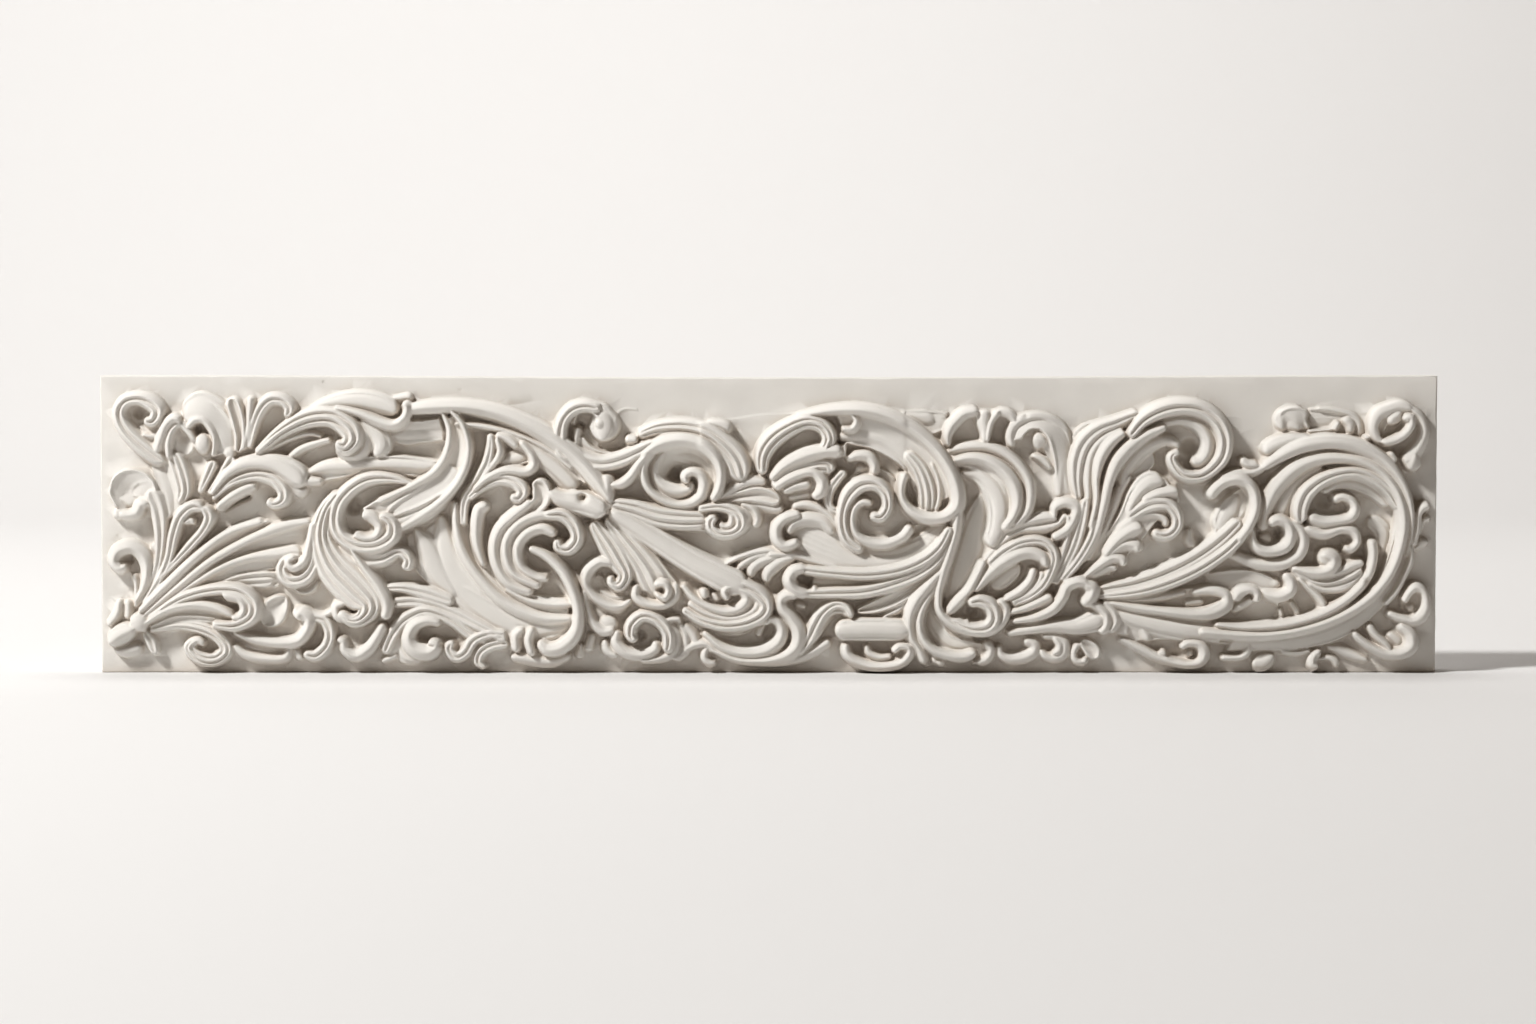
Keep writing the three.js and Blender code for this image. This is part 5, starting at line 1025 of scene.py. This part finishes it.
def crest_share(profile, s):
    """Share of a crest's rise at s, from -1 to 1 across it. round is a half circle mixed with a
    ridge, soft a parabola and cup a trough between two rims. f and a number is a half circle with
    that many ridges, each a sine's hump mixed with a cosine's sharp crest."""
    circle = np.sqrt(np.maximum(0, 1 - s * s))
    if profile == "round":
        return (1 - KEEL) * circle + KEEL * (1 - np.abs(s))
    if profile == "soft":
        return 1 - s * s
    if profile == "cup":
        return (0.3 + 1.6 * s * s) * np.sqrt(np.maximum(0, 1 - s**4)) / 1.05
    turn = math.pi / 2 * int(profile[1:]) * (s + 1)
    ridges = (1 - KEEL) * np.abs(np.sin(turn)) + KEEL * (1 - np.abs(np.cos(turn)))
    return circle * (1 - FLUTE * (1 - ridges))


def press(field, x, z, height):
    """Raises the field to the given heights at the places given, where it is lower."""
    column = np.rint((x + LENGTH / 2) / GRAIN).astype(int)
    row = np.rint(z / GRAIN).astype(int)
    inside = (column >= 0) & (column < field.shape[1]) & (row >= 0) & (row < field.shape[0])
    np.maximum.at(field, (row[inside], column[inside]), height[inside])


def lay_ball(field, heights, rise, station):
    """A dome: its edge's height plus its rise times the root of 1 less the squared distance from
    the middle, with flanks that fall straight to the ground."""
    x, y, half_along, half_up = station
    flank = 1 + heights[0] * DRAFT / (min(half_along, half_up) * STEP)
    rings = np.linspace(0, flank, BALL_RINGS)
    angles = np.linspace(0, 2 * math.pi, BALL_SPOKES)
    r, angle = np.meshgrid(rings, angles)
    dome = heights[0] + rise * np.sqrt(np.maximum(0, 1 - r * r))
    skirt = heights[0] * (flank - r) / max(flank - 1, 1e-6)
    height = np.where(r <= 1, dome, skirt)
    press(field, along(x) + np.cos(angle) * r * half_along * STEP,
          up(y) + np.sin(angle) * r * half_up * STEP, height)


def lay_strand(field, profile, heights, rise, stations):
    """A strand swept along its curve. Across it the height is its edge's height plus its rise
    times the crest's share, and past its edges it falls straight to the ground. Towards each end,
    within one half width, it narrows and sinks as a circle does."""
    rough = curve_through(stations, ROUGHED * len(stations))
    path = np.stack([along(rough[:, 0]), up(rough[:, 1])], 1)
    run = np.concatenate([[0], np.cumsum(np.linalg.norm(np.diff(path, axis=0), axis=1))])
    count = max(int(run[-1] / LAID), 8)
    even = np.interp(np.linspace(0, run[-1], count), run, np.arange(len(run)))
    x, z, half = (np.interp(even, np.arange(len(run)), line)
                  for line in (path[:, 0], path[:, 1], rough[:, 2] * STEP))
    half = np.maximum(half, THINNEST)
    place = np.linspace(0, run[-1], count)
    edge = np.interp(np.linspace(0, 1, count), np.linspace(0, 1, len(heights)), heights)
    from_end = np.minimum(place, run[-1] - place)
    short = np.clip(1 - from_end / half, 0, 1)
    ending = np.sqrt(1 - short**2)
    half = half * np.maximum(ending, END_LEAST)
    heading = np.stack([np.gradient(x), np.gradient(z)], 1)
    heading /= np.linalg.norm(heading, axis=1)[:, None] + 1e-9
    reach = half + edge * DRAFT
    lines = max(int(2 * reach.max() / LAID), 7)
    across = np.linspace(-1, 1, lines)[None, :] * reach[:, None]
    s = across / half[:, None]
    crest = edge[:, None] + rise * crest_share(profile, np.clip(s, -1, 1)) \
        * (0.5 + 0.5 * ending[:, None])
    if profile in ("round", "soft"):
        wide = np.clip(half / CREASED_FROM - 1, 0, 1)[:, None]
        crest = crest - CREASE * wide * np.exp(-((np.abs(s) - CREASE_AT) / CREASE_WIDE)**2)
    past = np.clip((np.abs(across) - half[:, None]) / (reach - half + 1e-6)[:, None], 0, 1)
    height = np.where(np.abs(s) <= 1, crest, edge[:, None] * (1 - past))
    press(field, x[:, None] - heading[:, 1:2] * across,
          z[:, None] + heading[:, :1] * across, height)


def lay_sheet(field, belly, flutes, one, other):
    """A leaf's surface ruled between two edge curves: across it the height goes evenly from one
    edge's to the other's, plus the belly times a parabola, less the flutes' sine valleys. A lip
    runs along both edges, and the comb's fine waves run along the leaf."""
    count = max(int(1.6 * max(span(one), span(other)) / LAID), 8)
    a = curve_through(one, count)
    b = curve_through(other, count)
    width = STEP * np.hypot(*(a - b)[:, :2].T)[:, None]
    lines = max(int(1.2 * width.max() / LAID), 6)
    v = np.linspace(0, 1, lines)[None, :, None]
    surface = a[:, None] * (1 - v) + b[:, None] * v
    share = v[..., 0]
    height = surface[..., 2] + belly * 4 * share * (1 - share)
    if flutes:
        height = height - FLUTE_SHEET * (1 - np.abs(np.sin(math.pi * flutes * share)))
    from_edge = width * np.minimum(share, 1 - share)
    height = height + LIP_HIGH * np.exp(-(from_edge / LIP_WIDE)**2)
    teeth = max(round(width.mean() / COMB_TOOTH), 2)
    sway = COMB_SWAY * np.sin(np.linspace(0, 5, count))[:, None]
    height = height + COMB_DEEP * np.sin(2 * math.pi * teeth * share + sway)
    press(field, along(surface[..., 0]), up(surface[..., 1]), height)


def span(edge):
    """The length of an edge from station to station, in mm."""
    return float(np.linalg.norm(np.diff(np.array(edge)[:, :2], axis=0), axis=1).sum()) * STEP


def widened(field, radius, pick):
    """Each point takes the pick, most or least, of a near round patch around it: a diamond patch
    followed by a square one, over and over."""
    for _ in range(max(int(round(radius / GRAIN / 2)), 1)):
        padded = np.pad(field, 1, mode="edge")
        plus = [padded[1:-1, 1:-1], padded[:-2, 1:-1], padded[2:, 1:-1], padded[1:-1, :-2],
                padded[1:-1, 2:]]
        field = pick.reduce(plus)
        padded = np.pad(field, 1, mode="edge")
        square = [padded[i:i + field.shape[0], j:j + field.shape[1]]
                  for i in range(3) for j in range(3)]
        field = pick.reduce(square)
    return field


def blurred(field, radius):
    """Two running means along each way, which together weigh as a tent of that radius does."""
    reach = max(int(round(radius / GRAIN)), 1)
    for axis in (0, 1, 0, 1):
        pads = [(reach + 1, reach) if k == axis else (0, 0) for k in (0, 1)]
        total = np.cumsum(np.pad(field, pads, mode="edge"), axis=axis)
        width = 2 * reach + 1
        size = field.shape[axis]
        upper = np.take(total, range(width, width + size), axis=axis)
        lower = np.take(total, range(0, size), axis=axis)
        field = (upper - lower) / width
    return field


def waves(x, z, seed, size, terms=14):
    """A gentle random swell: plane sine waves of about the given size in mm, added up and divided
    by the root of their number."""
    random = np.random.default_rng(seed)
    total = np.zeros(np.broadcast(x, z).shape)
    for _ in range(terms):
        angle = random.uniform(0, 2 * math.pi)
        number = 2 * math.pi / (size * random.uniform(0.7, 1.6))
        total += np.sin(number * (x * math.cos(angle) + z * math.sin(angle))
                        + random.uniform(0, 2 * math.pi))
    return total / math.sqrt(terms)


def carving(x, z):
    """Height of the plaster above the slab's face at each point of the grid. Strands and sheets
    are pressed in and the tallest wins. Narrow clefts are partly filled, by a closing, and all is
    softened. Edges and creases are cut crisp again, by the difference from a blur. The ground's
    own marks and the hollows come last."""
    field = np.zeros((len(z), len(x)))
    for motif in MOTIFS:
        for _, profile, heights, rise, stations in motif:
            if profile == "ball":
                lay_ball(field, heights, rise, stations[0])
            else:
                lay_strand(field, profile, heights, rise, stations)
    for _, belly, flutes, one, other in SHEETS:
        lay_sheet(field, belly, flutes, one, other)
    closed = widened(widened(field, CLEFT, np.maximum), CLEFT, np.minimum)
    field = np.maximum(field, CLEFT_FILL * blurred(closed, GRAIN))
    field = blurred(field, SOFTEN / 2)
    crisp = np.clip(field - blurred(field, CRISP_WITHIN), -CRISP, CRISP)
    field = np.clip(field + crisp, 0, RELIEF)
    return field + ground_marks(x, z) - drilled(field, x, z)


def drilled(field, x, z):
    """Depth of the hollows: each a flat-bottomed bowl, less as the carving beside it rises."""
    grid_x, grid_z = np.meshgrid(x, z)
    depths = np.zeros(field.shape)
    for px, py, radius, depth in HOLLOWS:
        distance = np.hypot(grid_x - along(px), grid_z - up(py)) / (radius * STEP)
        depths = np.maximum(depths, depth * np.exp(-distance**4))
    return depths * np.clip(1 - field / DRILLED_BELOW, 0, 1)


def ground_marks(x, z):
    """The ground's swell, its pinholes and the carving's eyes, each a small bowl, the fine lines,
    and the lip left by a mended mould."""
    grid_x, grid_z = np.meshgrid(x, z)
    marks = sum(high * waves(grid_x, grid_z, seed, size) for seed, high, size in SWELLS)
    for px, py, radius, depth in PITS + EYES:
        distance = np.hypot(grid_x - along(px), grid_z - up(py)) / (radius * STEP)
        marks -= depth * np.exp(-distance**2)
    for height, half_width, places in LINES:
        line = curve_through([[along(a), up(b)] for a, b in places], LINE_POINTS)
        nearest = np.min([np.hypot(grid_x - a, grid_z - b) for a, b in line], axis=0)
        marks += height * np.exp(-(nearest / half_width)**2)
    seam = curve_through([[along(a), up(b)] for a, b in SEAM], SEAM_POINTS)
    level = np.interp(grid_x, seam[:, 0], seam[:, 1])
    beside = (grid_x >= seam[0, 0]) & (grid_x <= seam[-1, 0])
    below = level - grid_z
    rise = (np.exp(-np.clip(below, 0, None) / SEAM_FADE)
            / (1 + np.exp(-np.clip(below, -9, 9) / SEAM_EDGE)))
    return marks + SEAM_HIGH * np.where(beside, rise, 0)


def casting_points():
    """The casting's surface as one tube around its length. Each ring runs up the carved face, back
    over the top, down the back and forward under the foot. The face's height is the carving's,
    less a quarter circle at the arrises, and near the top it sags by a squared sine along the
    length. Returns points [ring, place, xyz] in mm."""
    columns = int(round(LENGTH / GRAIN))
    rows = int(round(HEIGHT / GRAIN))
    x = np.linspace(-LENGTH / 2, LENGTH / 2, columns + 1)
    z = np.linspace(0, HEIGHT, rows + 1)
    height = carving(x, z)
    grid_x, grid_z = np.meshgrid(x, z)
    arris = ARRIS * (1 + ARRIS_WORN * waves(grid_x, grid_z, 11, 25))
    edge = np.minimum(np.minimum(grid_z, HEIGHT - grid_z), LENGTH / 2 - np.abs(grid_x))
    gone = np.clip(1 - edge / arris, 0, 1)
    face_y = FACE - height + arris * (1 - np.sqrt(1 - gone**2))
    sag = TOP_SAG * np.sin(math.pi * (grid_x / LENGTH + 0.5)) ** 2
    face_z = grid_z - sag * np.clip((grid_z / HEIGHT - SAG_FROM) / (1 - SAG_FROM), 0, 1) ** 2
    face = np.stack([grid_x, face_y, face_z], 2)
    depths = np.linspace(0, 1, ROWS_THROUGH)[1:-1]
    top_back = np.stack([x, np.full_like(x, BACK), face[-1][:, 2]], 1)
    top = np.stack([face[-1] * (1 - t) + top_back * t for t in depths])
    back_z = np.linspace(1, 0, ROWS_BACK)[:, None] * face[-1][None, :, 2]
    back = np.stack([np.broadcast_to(x, back_z.shape), np.full(back_z.shape, BACK), back_z], 2)
    foot_back = np.stack([x, np.full_like(x, BACK), np.zeros_like(x)], 1)
    foot = np.stack([face[0] * t + foot_back * (1 - t) for t in depths])
    return np.concatenate([face, top, back, foot]).transpose(1, 0, 2)


def tube_mesh(name, points):
    """A closed mesh from rings of points: quads between neighbouring rings and one flat face over
    each end ring."""
    rings, places, _ = points.shape
    numbers = np.arange(rings * places).reshape(rings, places)
    after = np.roll(numbers, -1, axis=1)
    quads = np.stack([numbers[:-1], numbers[1:], after[1:], after[:-1]], 2).reshape(-1, 4)
    mesh = bpy.data.meshes.new(name)
    mesh.vertices.add(rings * places)
    mesh.vertices.foreach_set("co", (points * MM).ravel())
    corners = np.concatenate([quads.ravel(), numbers[0], numbers[-1][::-1]])
    sizes = np.concatenate([np.full(len(quads), 4), [places, places]])
    mesh.loops.add(len(corners))
    mesh.loops.foreach_set("vertex_index", corners.astype(np.int32))
    mesh.polygons.add(len(sizes))
    starts = np.concatenate([[0], np.cumsum(sizes)[:-1]])
    mesh.polygons.foreach_set("loop_start", starts.astype(np.int32))
    mesh.update(calc_edges=True)
    mesh.validate()
    return mesh


def thinned(obj, most):
    """Collapses the mesh to at most that many triangles, the flattest places first."""
    obj.data.calc_loop_triangles()
    triangles = len(obj.data.loop_triangles)
    modifier = obj.modifiers.new("thinned", "DECIMATE")
    modifier.ratio = min(1, most / triangles)
    evaluated = obj.evaluated_get(bpy.context.evaluated_depsgraph_get())
    mesh = bpy.data.meshes.new_from_object(evaluated)
    obj.modifiers.remove(modifier)
    obj.data = mesh
    return obj


def linear(code):
    """A colour from its sRGB hex code, turned linear."""
    parts = [int(code[i:i + 2], 16) / 255 for i in (1, 3, 5)]
    return [p / 12.92 if p <= 0.04045 else ((p + 0.055) / 1.055) ** 2.4 for p in parts] + [1]


def node(tree, kind, settings=None, inputs=None):
    """Adds a node with its settings; each input is a value, or an output socket to link from."""
    made = tree.nodes.new(kind)
    for key, value in (settings or {}).items():
        setattr(made, key, value)
    for key, value in (inputs or {}).items():
        if isinstance(value, bpy.types.NodeSocket):
            tree.links.new(value, made.inputs[key])
        else:
            made.inputs[key].default_value = value
    return made


def new_material(name):
    """An empty node material and its node tree."""
    material = bpy.data.materials.new(name)
    material.use_nodes = True
    tree = material.node_tree
    tree.nodes.clear()
    return material, tree


# Sizes in the plaster's look, in mm: the drying clouds, how far the painted shade in the creases
# looks for nearby surface, and the grit.
CLOUD_SIZE = 60
PAINTED_SHADE_REACH = 13
GRIT_SIZE = 1.6
GRIT_DEEP = 0.12


def cast_gypsum_plaster():
    """Gypsum plaster, cast and left unpainted: chalky and matt, white with a warm cast, faintly
    clouded where it dried unevenly, with the fine tooth of a dry casting. A painted shade, a warm
    grey-brown, darkens its creases and hollows."""
    material, tree = new_material("cast_gypsum_plaster")
    place = node(tree, "ShaderNodeTexCoord").outputs["Object"]
    cloud = node(tree, "ShaderNodeTexNoise", {"noise_dimensions": "3D"},
                 {"Vector": place, "Scale": 1 / (CLOUD_SIZE * MM), "Detail": 4.0,
                  "Roughness": 0.55})
    tint = node(tree, "ShaderNodeValToRGB", None, {"Fac": cloud.outputs["Fac"]})
    tint.color_ramp.elements[0].position = 0.3
    tint.color_ramp.elements[0].color = linear("#E4E2DE")
    tint.color_ramp.elements[1].position = 0.7
    tint.color_ramp.elements[1].color = linear("#ECEAE6")
    # Painted shade: where the ambient occlusion finds surface close around, a warm grey-brown is
    # mixed in, darkening the creases and hollows as shadow would.
    occlusion = node(tree, "ShaderNodeAmbientOcclusion", {"samples": 8},
                    {"Distance": PAINTED_SHADE_REACH * MM})
    painted_shade_share = node(tree, "ShaderNodeMapRange", {"interpolation_type": "SMOOTHSTEP"},
                  {"Value": occlusion.outputs["AO"], "From Min": 0.95, "From Max": 0.3,
                   "To Min": 0.0, "To Max": 0.27})
    tint_with_painted_shade = node(tree, "ShaderNodeMix", {"data_type": "RGBA"},
                  {"Factor": painted_shade_share.outputs["Result"]})
    tree.links.new(tint.outputs["Color"], tint_with_painted_shade.inputs[6])
    # The painted shade's colour, a warm grey-brown.
    tint_with_painted_shade.inputs[7].default_value = linear("#A4896A")
    grit = node(tree, "ShaderNodeTexNoise", {"noise_dimensions": "3D"},
                {"Vector": place, "Scale": 1 / (GRIT_SIZE * MM), "Detail": 3.0, "Roughness": 0.6})
    tooth = node(tree, "ShaderNodeBump", None,
                 {"Strength": 0.25, "Distance": GRIT_DEEP * MM, "Height": grit.outputs["Fac"]})
    shader = node(tree, "ShaderNodeBsdfPrincipled", None,
                  {"Base Color": tint_with_painted_shade.outputs[2], "Roughness": 0.86,
                   "Specular IOR Level": 0.3, "IOR": 1.52, "Normal": tooth.outputs["Normal"]})
    node(tree, "ShaderNodeOutputMaterial", None, {"Surface": shader.outputs["BSDF"]})
    return material


def relief_casting():
    """The plaster casting, the object's one piece, in place of its plain solid."""
    mesh = tube_mesh("casting", casting_points())
    casting = bpy.data.objects.new("plaster_frieze", mesh)
    bpy.context.scene.collection.objects.link(casting)
    thinned(casting, MOST_TRIANGLES)
    casting.data.materials.clear()
    casting.data.materials.append(cast_gypsum_plaster())
    casting.data.polygons.foreach_set("use_smooth", np.ones(len(casting.data.polygons), bool))
    casting.data.set_sharp_from_angle(angle=SHARP_FROM)
    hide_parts("relief_panel")
    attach(casting, "root")
    return casting


# The paper sweep, in metres: where it turns up, the turn's radius, its reach in front and above,
# and half its width.
SWEEP_BEHIND = 2.2
SWEEP_RADIUS = 1.2
SWEEP_REACH = 6
SWEEP_HALF_WIDTH = 7


def backdrop():
    """A pale sweep: a level floor that turns up behind the object in a quarter circle."""
    turn = np.linspace(0, math.pi / 2, 32)
    bend = np.stack([SWEEP_BEHIND + SWEEP_RADIUS * np.sin(turn),
                     SWEEP_RADIUS * (1 - np.cos(turn))], 1)
    line = np.concatenate([[[-SWEEP_REACH, 0]], bend,
                           [[SWEEP_BEHIND + SWEEP_RADIUS, SWEEP_REACH]]])
    x = np.array([-SWEEP_HALF_WIDTH, SWEEP_HALF_WIDTH])
    points = np.array([[a, y, z] for y, z in line for a in x])
    faces = [[2 * i, 2 * i + 1, 2 * i + 3, 2 * i + 2] for i in range(len(line) - 1)]
    mesh = bpy.data.meshes.new("sweep")
    mesh.from_pydata(points.tolist(), [], faces)
    mesh.polygons.foreach_set("use_smooth", np.ones(len(faces), bool))
    sweep = bpy.data.objects.new("backdrop", mesh)
    bpy.context.scene.collection.objects.link(sweep)
    material, tree = new_material("matt_white_paper")
    shader = node(tree, "ShaderNodeBsdfPrincipled", None,
                  {"Base Color": linear("#EAEAEA"), "Roughness": 0.95, "Specular IOR Level": 0.1})
    node(tree, "ShaderNodeOutputMaterial", None, {"Surface": shader.outputs["BSDF"]})
    mesh.materials.append(material)


def area_light(name, place, aim, size, power, colour):
    """A round soft light at a place in metres, turned to its aim."""
    light = bpy.data.lights.new(name, "AREA")
    light.shape = "DISK"
    light.size = size
    light.energy = power
    light.color = colour
    lamp = bpy.data.objects.new(name, light)
    lamp.location = place
    lamp.rotation_euler = (Vector(aim) - Vector(place)).to_track_quat("-Z", "Y").to_euler()
    bpy.context.scene.collection.objects.link(lamp)


def studio():
    """A soft window high on the left in front, a lamp over the backdrop behind, and a weak warm
    light all round."""
    world = bpy.data.worlds.new("studio")
    world.use_nodes = True
    tree = world.node_tree
    tree.nodes.clear()
    sky = node(tree, "ShaderNodeBackground", None, {"Color": linear("#FFDDB8"), "Strength": 0.06})
    node(tree, "ShaderNodeOutputWorld", None, {"Surface": sky.outputs["Background"]})
    bpy.context.scene.world = world
    area_light("window", place=(-3.3, -2.4, 3.9), aim=(0, 0, 0.1), size=0.8, power=206,
               colour=(1.0, 0.995, 0.985))
    area_light("backdrop_lamp", place=(0, 1.0, 3.4), aim=(0, 3.4, 1.0), size=2.4, power=42,
               colour=(1.0, 0.985, 0.97))
    bpy.context.scene.view_settings.view_transform = "Standard"
    bpy.context.scene.view_settings.look = "High Contrast"


def camera():
    """A long lens from the front and a little above, as the photograph was taken."""
    lens = bpy.data.cameras.new("camera")
    lens.lens = 93.9
    lens.sensor_width = 36
    eye = bpy.data.objects.new("camera", lens)
    distance = 3.0
    pitch = math.radians(2.9)
    aim = Vector((-0.0005, -0.005, 0.1205))
    eye.location = aim + Vector((0, -distance * math.cos(pitch), distance * math.sin(pitch)))
    eye.rotation_euler = (math.pi / 2 - pitch, 0, 0)
    bpy.context.scene.collection.objects.link(eye)
    bpy.context.scene.camera = eye


relief_casting()
backdrop()
studio()
camera()
